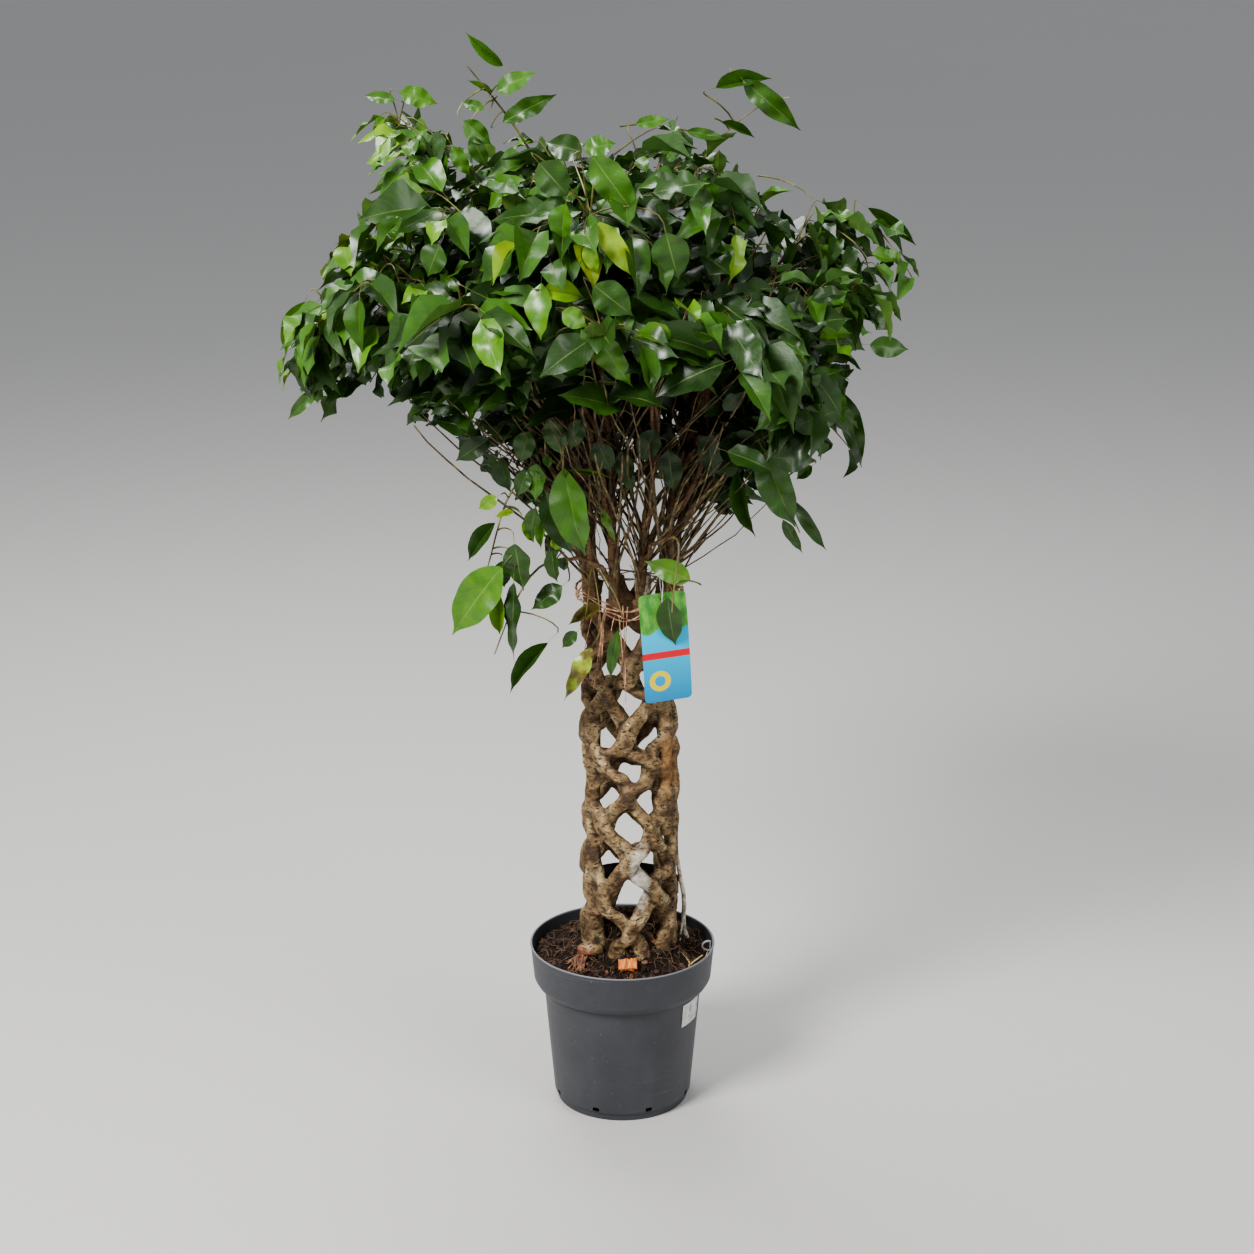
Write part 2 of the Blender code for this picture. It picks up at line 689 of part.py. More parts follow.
def add_side_leaf(bm, faces, along, way, outward, neighbours, others, draw):
    """One leaf on the given side of a twig's segment, hanging outwards and down."""
    for _ in range(LEAF_TRIES):
        heading = along * draw.uniform(0.3, 0.9) + across(along) * way * draw.uniform(0.5, 1.1)
        heading = (heading - Vector((0, 0, draw.uniform(0.1, 0.8)))).normalized()
        facing = outward * 0.5 + Vector((draw.uniform(-0.5, 0.5), draw.uniform(-0.5, 0.5), 1))
        squareness, side = max((face.normal.dot(heading), k) for k, face in enumerate(faces))
        if squareness < SQUAREST_LEAF:
            continue
        size = draw.uniform(0.85, 1.12)
        root = stalk_corners(faces[side], along)
        tree = try_leaf(bm, faces[side], root, heading, facing, size, neighbours, others)
        if tree:
            return tree
    return None


def add_end_leaf(bm, cap, along, neighbours, others, draw):
    """The leaf at a twig's end grows out of its end face."""
    root = [vert.co for vert in cap.verts]
    for _ in range(LEAF_TRIES):
        spread = random_vector(draw) * 0.3
        heading = (along + Vector((spread.x, spread.y, -draw.uniform(0, 0.5)))).normalized()
        facing = Vector((draw.uniform(-0.4, 0.4), draw.uniform(-0.4, 0.4), 1))
        if try_leaf(bm, cap, root, heading, facing, END_LEAF_SIZE, neighbours, others):
            return


def make_spray(number, bough_end, spray, draw):
    """A twig with its leaves, seated on the end of its bough."""
    point, direction = bough_end
    _, end, sag, _, _ = spray
    others = list(occupied)
    start = point + direction * GAP
    bm, points, last_ring, segments, twig_tree = make_twig(start, direction, end, sag, others, draw)
    outward = Vector((end.x, end.y, 0)).normalized()
    leaves = []
    for row in range(1, TWIG_SEGMENTS):
        along = (points[row + 1] - points[row]).normalized()
        way = 1 if row % 2 else -1
        tree = add_side_leaf(bm, segments[row], along, way, outward, [twig_tree] + leaves, others, draw)
        if tree:
            leaves.append(tree)
    cap = next(face for face in last_ring[0].link_faces if all(v in last_ring for v in face.verts))
    add_end_leaf(bm, cap, (points[-1] - points[-2]).normalized(), leaves, others, draw)
    bmesh.ops.triangulate(bm, faces=bm.faces[:])
    finish(bm, f"leaf_spray_{number + 1:02d}", material("leaf", LEAF_GREEN, 0.35))


# Small things


def arc_strip(bm, radius_low, radius_high, z_low, z_high, first, last, thick, steps, centre=Vector()):
    """A thin curved strip standing on edge, between two azimuths."""
    sections = []
    for k in range(steps + 1):
        angle = first + (last - first) * k / steps
        corners = (
            polar(radius_high, angle, z_high),
            polar(radius_high + thick, angle, z_high),
            polar(radius_low + thick, angle, z_low),
            polar(radius_low, angle, z_low),
        )
        sections.append([bm.verts.new(c + centre) for c in corners])
    skin(bm, sections)


def outermost(names, centre, z_low, z_high, first, last):
    """How far out the named pieces reach from an axis, between two heights and two azimuths."""
    reach = 0.0
    for name in names:
        for vert in bpy.data.objects[name].data.vertices:
            spot = vert.co - centre
            turn = Vector((spot.x, spot.y)).length
            azimuth = Vector((1, 0)).angle_signed(Vector((spot.x, spot.y)), 0) if turn else 0
            degrees = (-azimuth * 180 / pi) % 360
            if z_low - 0.015 < spot.z < z_high + 0.015 and first - 8 < degrees < last + 8:
                reach = max(reach, turn)
    return reach


def make_band():
    """A strip of black plastic left round the back of the trunk."""
    stems = [f"stem_{k + 1:02d}" for k in range(STEMS)]
    axis = Vector((TRUNK_X, 0, 0))
    low, high = BAND_Z - BAND_TALL / 2, BAND_Z + BAND_TALL / 2
    inner = outermost(stems, axis, low, high, BAND_FROM, BAND_TO) + GAP
    bm = bmesh.new()
    arc_strip(bm, inner, inner, low, high, BAND_FROM, BAND_TO, BAND_THICK, BAND_STEPS, axis)
    finish(bm, "trunk_band", material("black_plastic", (0.01, 0.01, 0.01), 0.5))


def make_tie():
    """A raffia tie that holds the limbs together where the braid ends."""
    axis = Vector((TRUNK_X, 0, 0))
    stems = [f"stem_{k + 1:02d}" for k in range(STEMS)]
    reach = outermost(stems, axis, TIE_Z, TIE_Z, -10, 370) + GAP + TIE_RADIUS
    bm = bmesh.new()
    rings = []
    for k in range(TIE_STEPS):
        angle = 360 * k / TIE_STEPS
        centre = polar(reach, angle, TIE_Z) + axis
        rings.append(ring(bm, centre, polar(TIE_RADIUS, angle, 0), Vector((0, 0, TIE_RADIUS)), 5))
    for low, high in zip(rings, rings[1:] + rings[:1]):
        wrap(bm, high, low)
    bmesh.ops.recalc_face_normals(bm, faces=bm.faces[:])
    finish(bm, "raffia_tie", material("raffia", (0.45, 0.25, 0.16), 0.8))


def make_tag():
    """The hang tag: a rounded card with one hole near its top edge."""
    bm = bmesh.new()
    corners = []
    low, high = TAG_TOP_Z - TAG_TALL, TAG_TOP_Z
    for cx, cz, first in (
        (TAG_WIDE / 2 - TAG_CORNER, high - TAG_CORNER, 0),
        (-TAG_WIDE / 2 + TAG_CORNER, high - TAG_CORNER, 90),
        (-TAG_WIDE / 2 + TAG_CORNER, low + TAG_CORNER, 180),
        (TAG_WIDE / 2 - TAG_CORNER, low + TAG_CORNER, 270),
    ):
        for k in range(4):
            angle = radians(first + 30 * k)
            corners.append((TAG_X + cx + TAG_CORNER * cos(angle), cz + TAG_CORNER * sin(angle)))
    front = [bm.verts.new((x, TAG_Y, z)) for x, z in corners]
    back = [bm.verts.new((x, TAG_Y + TAG_THICK, z)) for x, z in corners]
    skin(bm, [back, front])
    tag = finish(bm, "hang_tag", material("printed_card", (0.1, 0.5, 0.6), 0.3))
    tool = bmesh.new()
    hole = Vector((TAG_X, TAG_Y, TAG_TOP_Z - TAG_HOLE_DROP))
    wide, tall = Vector((TAG_HOLE_RADIUS, 0, 0)), Vector((0, 0, -TAG_HOLE_RADIUS))
    skin(tool, [ring(tool, hole + Vector((0, y, 0)), wide, tall, 10) for y in (-TAG_CUT_REACH, TAG_CUT_REACH)])
    cut(tag, cutter(tool, "tag_hole_cutter"))


def wire_along(points, radius, name, finish_material, sides):
    bm = bmesh.new()
    rings = untwist(tube_rings(bm, points, [radius] * len(points), sides))
    skin(bm, rings)
    finish(bm, name, finish_material)


def make_tag_wire():
    """A pale wire hook: over the raffia tie, down through the tag's hole and up behind the card."""
    reach = max((v.co.xy - Vector((TRUNK_X, 0))).length for v in bpy.data.objects["raffia_tie"].data.vertices)
    over = Vector((TRUNK_X, 0, TIE_Z + TIE_RADIUS + WIRE_RADIUS + GAP))
    out = Vector((TAG_X - TRUNK_X, TAG_Y, 0)).normalized()
    hole_z = TAG_TOP_Z - TAG_HOLE_DROP + TAG_HOLE_RADIUS * 0.95 - WIRE_RADIUS - GAP
    points = [
        over + out * (reach - 2 * TIE_RADIUS),
        over + out * (reach + WIRE_RADIUS + GAP),
        Vector((TAG_X, TAG_Y + 0.006, hole_z + 0.004)),
        Vector((TAG_X, TAG_Y + 0.003, hole_z)),
        Vector((TAG_X, TAG_Y - 0.002, hole_z)),
        Vector((TAG_X, TAG_Y - 0.004, hole_z + 0.005)),
        Vector((TAG_X, TAG_Y - 0.003, TAG_TOP_Z + 0.003)),
    ]
    wire_along(points, WIRE_RADIUS, "tag_wire", material("pale_wire", (0.6, 0.6, 0.58), 0.4), 5)


def wall_radius(z):
    low = FOOT_HEIGHT + FOOT_STEP
    return WALL_FOOT_RADIUS + (WALL_TOP_RADIUS - WALL_FOOT_RADIUS) * (z - low) / (WALL_TOP_Z - low)


def make_sticker():
    """A bare label on the wall, just under the collar."""
    low, high = STICKER_Z - STICKER_TALL / 2, STICKER_Z + STICKER_TALL / 2
    bm = bmesh.new()
    foot, head = wall_radius(low) + GAP, wall_radius(high) + GAP
    arc_strip(bm, foot, head, low, high, STICKER_FROM, STICKER_TO, STICKER_THICK, STICKER_STEPS)
    finish(bm, "pot_sticker", material("label_paper", (0.7, 0.7, 0.68), 0.6))


def make_eyelet():
    """The grey plastic eyelet inside the rim at the right."""
    wall_here = (COLLAR_TOP_RADIUS - WALL) * cos(pi / POT_SEGMENTS)
    centre = polar(wall_here - EYELET_WIRE - GAP - WALL_FIT, 0, POT_HEIGHT - EYELET_RADIUS - EYELET_WIRE)
    points = [centre + Vector((0, 0, EYELET_RADIUS))]
    for k in range(EYELET_STEPS + 1):
        angle = radians(90 + 180 * k / EYELET_STEPS)
        inwards = EYELET_RADIUS * EYELET_BOW * cos(angle) - EYELET_STRAIGHT
        points.append(centre + Vector((inwards, 0, EYELET_RADIUS * sin(angle))))
    points.append(centre + Vector((0, 0, -EYELET_RADIUS)))
    rings = []
    bm = bmesh.new()
    for k, point in enumerate(points):
        direction = (points[(k + 1) % len(points)] - points[k - 1]).normalized()
        rings.append(ring(bm, point, Vector((0, EYELET_WIRE, 0)), direction.cross(Vector((0, EYELET_WIRE, 0))), 5))
    for low, high in zip(rings, rings[1:] + rings[:1]):
        wrap(bm, low, high)
    bmesh.ops.recalc_face_normals(bm, faces=bm.faces[:])
    finish(bm, "rim_eyelet", material("pot_plastic", POT_GREY, 0.55))


def soil_under(spot):
    """The height of the faceted soil below or above a spot."""
    return occupied["soil"].ray_cast(Vector((spot.x, spot.y, 1.0)), Vector((0, 0, -1)))[0].z


def make_chip():
    """An orange wood chip lying on the mound, in front of the trunk."""
    slope = (soil_height(CHIP_X, CHIP_Y + 0.01) - soil_height(CHIP_X, CHIP_Y - 0.01)) / 0.02
    bm = bmesh.new()
    low = []
    for share_x, share_y in CHIP_OUTLINE:
        x, y = CHIP_X + CHIP_LONG * share_x, CHIP_Y + CHIP_WIDE * share_y
        low.append(Vector((x, y, slope * (y - CHIP_Y))))
    lift = Vector((0, 0, CHIP_REST - min(corner.z - soil_under(corner) for corner in low)))
    low = [corner + lift for corner in low]
    high = [corner + Vector((0, 0, CHIP_THICK)) for corner in low]
    skin(bm, [[bm.verts.new(c) for c in side] for side in (low, high)])
    finish(bm, "wood_chip", material("wood_chip", (0.5, 0.17, 0.05), 0.8))


def make_aerial_root():
    """A pale aerial root that drops from the lattice to the soil at the right."""
    foot = Vector((ROOT_X, ROOT_Y, 0))
    foot.z = max(soil_under(foot + polar(ROOT_RADIUS, 45 * k, 0)) for k in range(8)) + GAP + WALL_FIT
    path = [foot] + [foot + Vector(offset) for offset in ROOT_PATH]
    wire_along(path, ROOT_RADIUS, "aerial_root", material("bark", BARK, 0.8), 6)


def main():
    clear_scene()
    make_pot()
    make_soil()
    sprays = tiered_sprays()
    ends = make_stems(sprays)
    make_band()
    make_tie()
    make_tag()
    make_tag_wire()
    make_sticker()
    make_eyelet()
    make_chip()
    make_aerial_root()
    draw = random.Random(7)
    for number, spray in enumerate(sprays):
        make_spray(number, ends[number], spray, draw)


main()
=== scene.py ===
# %% [markdown]
# # A weeping fig with a braided trunk, in a plain nursery pot
#
# The plant is three things at once: a smooth moulded pot, a knotted lattice of ten stems that have
# grown into each other, and a loose crown of about three thousand leaves. Each is made another way:
# the pot by extruding a circle, the trunk by melting tubes together, the crown by copying a few leaves.
# The CAD model gives every place. It is loaded first, and nothing in it is moved.

# %% Load the frame
from math import cos, exp, hypot, log, pi, radians, sin
from random import Random

import bmesh
import bpy
from mathutils import Matrix, Vector, noise


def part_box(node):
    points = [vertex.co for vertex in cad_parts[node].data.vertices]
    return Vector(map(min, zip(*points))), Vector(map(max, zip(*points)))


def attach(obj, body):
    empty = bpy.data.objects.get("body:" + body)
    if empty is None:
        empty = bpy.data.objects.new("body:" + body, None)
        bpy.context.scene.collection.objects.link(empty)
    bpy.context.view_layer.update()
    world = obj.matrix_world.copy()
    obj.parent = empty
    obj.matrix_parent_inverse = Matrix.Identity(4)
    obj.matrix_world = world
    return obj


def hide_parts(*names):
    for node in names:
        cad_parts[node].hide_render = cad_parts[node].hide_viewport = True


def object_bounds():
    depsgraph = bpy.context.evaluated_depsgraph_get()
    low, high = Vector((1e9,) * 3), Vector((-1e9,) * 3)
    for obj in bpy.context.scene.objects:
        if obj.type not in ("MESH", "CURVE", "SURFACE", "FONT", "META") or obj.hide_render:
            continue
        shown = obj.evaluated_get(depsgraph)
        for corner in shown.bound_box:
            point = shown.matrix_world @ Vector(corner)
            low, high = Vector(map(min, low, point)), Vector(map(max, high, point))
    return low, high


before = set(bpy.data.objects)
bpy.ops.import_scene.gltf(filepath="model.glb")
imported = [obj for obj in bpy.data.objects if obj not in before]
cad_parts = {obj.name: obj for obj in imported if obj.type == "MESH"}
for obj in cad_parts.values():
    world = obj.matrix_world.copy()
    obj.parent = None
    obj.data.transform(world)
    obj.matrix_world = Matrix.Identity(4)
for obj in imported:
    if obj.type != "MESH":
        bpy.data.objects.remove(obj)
cad_box = [list(corner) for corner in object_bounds()]
UP = Vector((0, 0, 1))
print("CAD nodes", len(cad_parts), "box", [[round(v, 4) for v in corner] for corner in cad_box])

# %% [markdown]
# ## Small tools
#
# A hex colour is what the eye sees, but a shader adds up light, so one function turns hex to linear.
# Another adds a shader node: it sets the node's options, and fills each input with a number, a colour
# or a link. Everything below that has a finish is written with these.

# %% Colour and node helpers
def linear(colour):
    """An sRGB hex colour as the linear RGBA that a shader takes."""
    parts = [int(colour[i:i + 2], 16) / 255 for i in (1, 3, 5)]
    return [p / 12.92 if p <= 0.04045 else ((p + 0.055) / 1.055) ** 2.4 for p in parts] + [1.0]


def fill(node, inputs):
    """Fills inputs, by name or counted among those in use, with a number, a hex colour or a link."""
    live = [socket for socket in node.inputs if socket.enabled]
    for name, value in inputs.items():
        socket = live[name] if isinstance(name, int) else next(s for s in live if s.name == name)
        if isinstance(value, bpy.types.Node):
            value = next(s for s in value.outputs if s.enabled)
        if isinstance(value, bpy.types.NodeSocket):
            node.id_data.links.new(value, socket)
        else:
            socket.default_value = linear(value) if isinstance(value, str) else value


def add_node(tree, kind, inputs=None, stops=None, **settings):
    """One shader node with its settings and inputs. Stops are the places and colours of a ramp."""
    node = tree.nodes.new("ShaderNode" + kind)
    for name, value in settings.items():
        setattr(node, name, value)
    if stops:
        elements = node.color_ramp.elements
        for place, _ in stops[1:-1]:
            elements.new(place)
        for element, (place, colour) in zip(elements, stops):
            element.position = place
            element.color = linear(colour)
    fill(node, inputs or {})
    return node


def new_material(name):
    """A material with its node tree and its Principled shader, ready for more nodes."""
    material = bpy.data.materials.new(name)
    material.use_nodes = True
    return material, material.node_tree, material.node_tree.nodes["Principled BSDF"]


print("white is", linear("#ffffff"), "middle grey is", round(linear("#808080")[0], 3))

# %% [markdown]
# An operator acts on whatever is selected, and the loaded CAD nodes start out selected. So each step
# first clears the selection, and in edit mode the faces or edges are picked by a test on their place.

# %% Modelling helpers
def only(piece):
    """Makes one object the selected and active one."""
    bpy.ops.object.select_all(action="DESELECT")
    piece.select_set(True)
    bpy.context.view_layer.objects.active = piece


def add_object(name, data):
    """An object for a mesh, a curve, a lamp or a camera, in the scene."""
    item = bpy.data.objects.new(name, data)
    bpy.context.collection.objects.link(item)
    return item


def pick(kind, test):
    """In edit mode, selects the vertices, edges or faces for which the test holds."""
    bpy.ops.mesh.select_mode(type=kind)
    bpy.ops.mesh.select_all(action="DESELECT")
    mesh = bpy.context.edit_object.data
    bm = bmesh.from_edit_mesh(mesh)
    for item in {"VERT": bm.verts, "EDGE": bm.edges, "FACE": bm.faces}[kind]:
        if test(item):
            item.select_set(True)
    bmesh.update_edit_mesh(mesh)


def apply_modifier(piece, kind, **settings):
    """Adds a modifier, sets it and applies it at once."""
    only(piece)
    modifier = piece.modifiers.new(kind.title(), kind)
    for name, value in settings.items():
        setattr(modifier, name, value)
    bpy.ops.object.modifier_apply(modifier=modifier.name)


def roughen(piece, layers, direction="NORMAL"):
    """Pushes a surface in and out by clouds: each layer's name, its clouds' size, and how far."""
    for name, size, strength in layers:
        clouds = bpy.data.textures.new(name, "CLOUDS")
        clouds.noise_scale = size
        clouds.noise_depth = 2
        apply_modifier(piece, "DISPLACE", texture=clouds, texture_coords="LOCAL", strength=strength,
                       mid_level=0.5, direction=direction)


def close_shell():
    """In edit mode, fills the selected border, turns the faces outwards and leaves edit mode."""
    bpy.ops.mesh.edge_face_add()
    bpy.ops.mesh.select_all(action="SELECT")
    bpy.ops.mesh.normals_make_consistent(inside=False)
    bpy.ops.object.mode_set(mode="OBJECT")


def tubes(name, paths, sides=6):
    """Round tubes along many paths, as one mesh. A path is a list of (point, radius)."""
    curve = bpy.data.curves.new(name, "CURVE")
    curve.dimensions = "3D"
    curve.bevel_depth = 1.0
    curve.bevel_resolution = (sides - 4) // 2
    curve.use_fill_caps = True
    for path in paths:
        spline = curve.splines.new("POLY")
        spline.points.add(len(path) - 1)
        for place, (point, radius) in zip(spline.points, path):
            place.co = (*point, 1)
            place.radius = radius
    only(add_object(name, curve))
    bpy.ops.object.convert(target="MESH")
    return bpy.context.object


def join(name, objects):
    """Joins several meshes into one object of the given name."""
    only(objects[0])
    for piece in objects:
        piece.select_set(True)
    bpy.ops.object.join()
    objects[0].name = name
    return objects[0]


def seat(piece, nodes=(), materials=(), angle=40):
    """Shades a finished piece, gives it its finish, makes it ride, and hides the CAD nodes it replaces."""
    only(piece)
    bpy.ops.object.transform_apply(location=True, rotation=True, scale=True)
    bpy.ops.object.shade_smooth_by_angle(angle=radians(angle))
    if materials:
        piece.data.materials.clear()
        for material in materials:
            piece.data.materials.append(material)
    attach(piece, "root")
    if nodes:
        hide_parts(*nodes)
    print(piece.name, len(piece.data.polygons), "faces")


def polar(radius, azimuth, z):
    """A point at a radius and an azimuth in degrees."""
    return Vector((radius * cos(radians(azimuth)), radius * sin(radians(azimuth)), z))


def clamp(share):
    """A share held between 0 and 1."""
    return max(0.0, min(1.0, share))


print("helpers ready")

# %% [markdown]
# ## Camera, floor and light
#
# The photograph was taken from about chest height, a little over three metres away, looking down.
# The ellipse of the pot's rim gives the angle, and the pot's known size gives the distance.
# A long lens from there keeps the plant's real proportions.

# %% Camera
LOOKS_DOWN = 17.7
camera_data = bpy.data.cameras.new("camera")
camera_data.lens = 76.45
camera_data.sensor_width = 36
camera_data.clip_end = 100
camera = add_object("camera", camera_data)
camera.location = (0.006, -3.2, 1.67)
camera.rotation_euler = (radians(90 - LOOKS_DOWN), 0, 0)
bpy.context.scene.camera = camera
print("camera looks down", LOOKS_DOWN, "degrees")

# %% [markdown]
# One large soft lamp stands high on the left, in front, as the highlights on the leaves and the dark
# right side of the pot show. A wide weak lamp on the right and a pale sky keep the shadows open.

# %% Floor and light
bpy.ops.object.select_all(action="DESELECT")
bpy.ops.mesh.primitive_plane_add(size=70)
floor = bpy.context.object
floor.name = "floor"
floor_paint, tree, shader = new_material("matt_painted_floor")
floor_grain = add_node(tree, "TexNoise", {"Scale": 3.0, "Detail": 4.0})
floor_colour = add_node(tree, "ValToRGB", {"Fac": floor_grain}, [(0.3, "#bdbbb8"), (0.7, "#c4c2bf")])
fill(shader, {"Base Color": floor_colour, "Roughness": 0.85})
floor.data.materials.append(floor_paint)


def soft_lamp(name, place, size, watts, aim):
    """A square area lamp that faces a point."""
    data = bpy.data.lights.new(name, "AREA")
    data.size = size
    data.energy = watts
    lamp = add_object(name, data)
    lamp.location = place
    lamp.rotation_euler = (Vector(aim) - Vector(place)).to_track_quat("-Z", "Y").to_euler()


soft_lamp("key_lamp", (-2.1, -2.5, 3.3), 1.3, 235, (0, 0, 0.8))
soft_lamp("fill_lamp", (2.4, -2.2, 2.6), 2.0, 60, (0, 0, 1.1))
soft_lamp("top_lamp", (-0.6, 1.6, 3.0), 1.6, 60, (0, 0, 1.0))
world = bpy.data.worlds.new("pale_room")
world.use_nodes = True
fill(world.node_tree.nodes["Background"], {"Color": "#dfe3e8", "Strength": 0.55})
bpy.context.scene.world = world
bpy.context.scene.view_settings.look = "AgX - Medium High Contrast"

# %% [markdown]
# ## The nursery pot
#
# The pot is injection-moulded polypropylene: a thin wall, a stepped collar that stiffens it, a rolled
# lip and a low foot ring with drain slots. Such a turned shape could be spun from a profile. Here a
# circle is extruded from level to level and scaled each time, up the outside and down the inside, as
# one would do by hand, so the wall keeps its real thickness of 2.2 mm.

# %% Pot body
OUTSIDE = [(0.0860, 0.0000), (0.0866, 0.0090), (0.0900, 0.0110), (0.1030, 0.1600), (0.1115, 0.1640),
           (0.1160, 0.1720), (0.1200, 0.2150), (0.1210, 0.2165), (0.1202, 0.2180)]
INSIDE = [(0.1182, 0.2180), (0.1177, 0.2150), (0.1138, 0.1715), (0.1093, 0.1655), (0.1006, 0.1610),
          (0.0877, 0.0120), (0.0840, 0.0100), (0.0838, 0.0040)]
bpy.ops.object.select_all(action="DESELECT")
bpy.ops.mesh.primitive_circle_add(vertices=128, radius=OUTSIDE[0][0], fill_type="NGON")
pot = bpy.context.object
bpy.ops.object.mode_set(mode="EDIT")
pick("EDGE", lambda edge: True)
PROFILE = OUTSIDE + INSIDE
for (radius, z), (next_radius, next_z) in zip(PROFILE, PROFILE[1:]):
    bpy.ops.mesh.extrude_edges_move(TRANSFORM_OT_translate={"value": (0, 0, next_z - z)})
    share = next_radius / radius
    bpy.ops.transform.resize(value=(share, share, 1), center_override=(0, 0, 0))
close_shell()
apply_modifier(pot, "BEVEL", width=0.0009, segments=2, limit_method="ANGLE", angle_limit=radians(12))
print("pot", len(pot.data.polygons), "faces, top", round(max(v.co.z for v in pot.data.vertices), 4))

# %% [markdown]
# Eight short drain slots sit just above the foot ring, 45 degrees apart. A small block is made once,
# copied round the pot, and the lot is cut out of the wall with a Boolean.

# %% Drain slots
cutters = []
for slot in range(8):
    azimuth = 22.5 + 45 * slot
    bpy.ops.mesh.primitive_cube_add(size=1, location=polar(0.0885, azimuth, 0.0145))
    block = bpy.context.object
    block.scale = (0.016, 0.009, 0.006)
    block.rotation_euler = (0, 0, radians(azimuth))
    cutters.append(block)
    bpy.ops.object.select_all(action="DESELECT")
slots = join("slots", cutters)
bpy.ops.object.transform_apply(location=True, rotation=True, scale=True)
apply_modifier(slots, "BEVEL", width=0.0015, segments=2)
apply_modifier(pot, "BOOLEAN", operation="DIFFERENCE", object=slots, solver="EXACT")
bpy.data.objects.remove(slots)
pot.name = "nursery_pot"
print("slots cut, pot now", len(pot.data.polygons), "faces")

# %% [markdown]
# Black-grey polypropylene is slightly glossy, but a used pot is dulled by potting dust: a faint
# cloudiness, and lighter scuffs that run round the pot where it was slid in its tray. A paler band on
# the lip is a painted highlight. The scuffs are about 1 mm apart in reality and drawn at 3 mm.

# %% Moulded polypropylene
pot_plastic, tree, shader = new_material("moulded_polypropylene")
place = add_node(tree, "TexCoord").outputs["Object"]
cloud = add_node(tree, "TexNoise", {"Vector": place, "Scale": 14.0, "Detail": 5.0, "Roughness": 0.6})
along = add_node(tree, "Mapping",
                 {"Vector": place, "Scale": (8.0, 8.0, 330.0), "Rotation": (0.05, 0.03, 0)})
scuff = add_node(tree, "TexNoise", {"Vector": along, "Scale": 1.0, "Detail": 3.0})
scuff = add_node(tree, "MapRange", {"Value": scuff, "From Min": 0.60, "From Max": 0.78})
where = add_node(tree, "TexNoise", {"Vector": place, "Scale": 9.0, "Detail": 2.0})
where = add_node(tree, "MapRange", {"Value": where, "From Min": 0.50, "From Max": 0.68})
scuff = add_node(tree, "Math", {0: scuff, 1: where}, operation="MULTIPLY")
base = add_node(tree, "ValToRGB", {"Fac": cloud}, [(0.32, "#37383c"), (0.7, "#434448")])
dusty = add_node(tree, "Mix", {"Factor": scuff, "A": base, "B": "#686766"}, data_type="RGBA")
level = add_node(tree, "SeparateXYZ", {"Vector": place}).outputs["Z"]
# Painted highlight: the top of the lip is drawn paler, as if its rolled edge caught the lamp.
lip_highlight_mask = add_node(tree, "MapRange", {"Value": level, "From Min": 0.2158, "From Max": 0.2176})
with_painted_light_and_shade = add_node(tree, "Mix", {"Factor": lip_highlight_mask, "A": dusty, "B": "#75767a"}, data_type="RGBA")
grit = add_node(tree, "TexNoise", {"Vector": place, "Scale": 420.0, "Detail": 2.0})
speck = add_node(tree, "MapRange", {"Value": grit, "From Min": 0.70, "From Max": 0.76, "To Max": 0.5})
speckled = add_node(tree, "Mix", {"Factor": speck, "A": with_painted_light_and_shade, "B": "#a09a90"}, data_type="RGBA")
rough = add_node(tree, "MapRange", {"Value": cloud, "To Min": 0.40, "To Max": 0.56})
bump = add_node(tree, "Bump", {"Height": grit, "Strength": 0.06, "Distance": 0.0004})
fill(shader, {"Base Color": speckled, "Roughness": rough, "Normal": bump, "IOR": 1.49})
seat(pot, ["pot"], [pot_plastic])

# %% [markdown]
# Many small things here have the same kind of finish: fibres, straw, cut wood, paper. Their colours
# run from dark to light with one noise, whose grain is 1000 mm divided by its scale: a scale of 250
# draws grains of 4 mm. So one function makes such a finish, drawn out along an axis if need be.

# %% A grained finish
def grained_finish(name, scale, stops, roughness, detail=4.0, coarse=0.5, stretch=None, relief=None):
    """A finish coloured by one noise. Relief is a bump's strength and its depth in metres."""
    material, tree, shader = new_material(name)
    place = add_node(tree, "TexCoord").outputs["Object"]
    if stretch:
        place = add_node(tree, "Mapping", {"Vector": place, "Scale": stretch})
    grain = add_node(tree, "TexNoise",
                     {"Vector": place, "Scale": scale, "Detail": detail, "Roughness": coarse})
    tints = add_node(tree, "ValToRGB", {"Fac": grain}, stops)
    fill(shader, {"Base Color": tints, "Roughness": roughness})
    if relief:
        bump = add_node(tree, "Bump", {"Height": grain, "Strength": relief[0], "Distance": relief[1]})
        fill(shader, {"Normal": bump})
    return material


def refinish(node, material):
    """Gives a CAD node that stays a finish of its own."""
    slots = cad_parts[node].data.materials
    slots.clear()
    slots.append(material)


print("one function for the grained finishes")

# %% [markdown]
# The label on the pot's right side is left bare. It is thin coated paper that has been handled: off
# white, a little wrinkled, with grey smudges. The CAD solid already has its shape, so it only gets
# this finish. The little ring inside the rim is milky polyethylene with a soft, slightly waxy gloss.

# %% Label and rim ring
label_paper = grained_finish("coated_label_paper", 120.0,
                             [(0.36, "#8e8f90"), (0.5, "#c8c8c6"), (0.7, "#d6d6d3")],
                             0.45, detail=6.0, coarse=0.65, relief=(0.25, 0.0006))
milky = grained_finish("milky_polyethylene", 260.0, [(0.35, "#6f706d"), (0.65, "#a1a29e")],
                       0.35, detail=3.0)
refinish("pot_sticker", label_paper)
refinish("rim_eyelet", milky)
print("label and ring finished")

# %% [markdown]
# ## The potting soil
#
# The soil is peat and composted bark, mounded round the trunk and fallen away into a hole at the
# right. Its height is the same formula as in the CAD, so everything that stands on it meets it.
# A square grid is laid over it, trimmed to the pot's round inside, raised by the formula, and
# roughened by two Displace modifiers: clods of about 12 mm and crumbs of about 4 mm.

# %% Soil body
SOIL_RADIUS = 0.1159


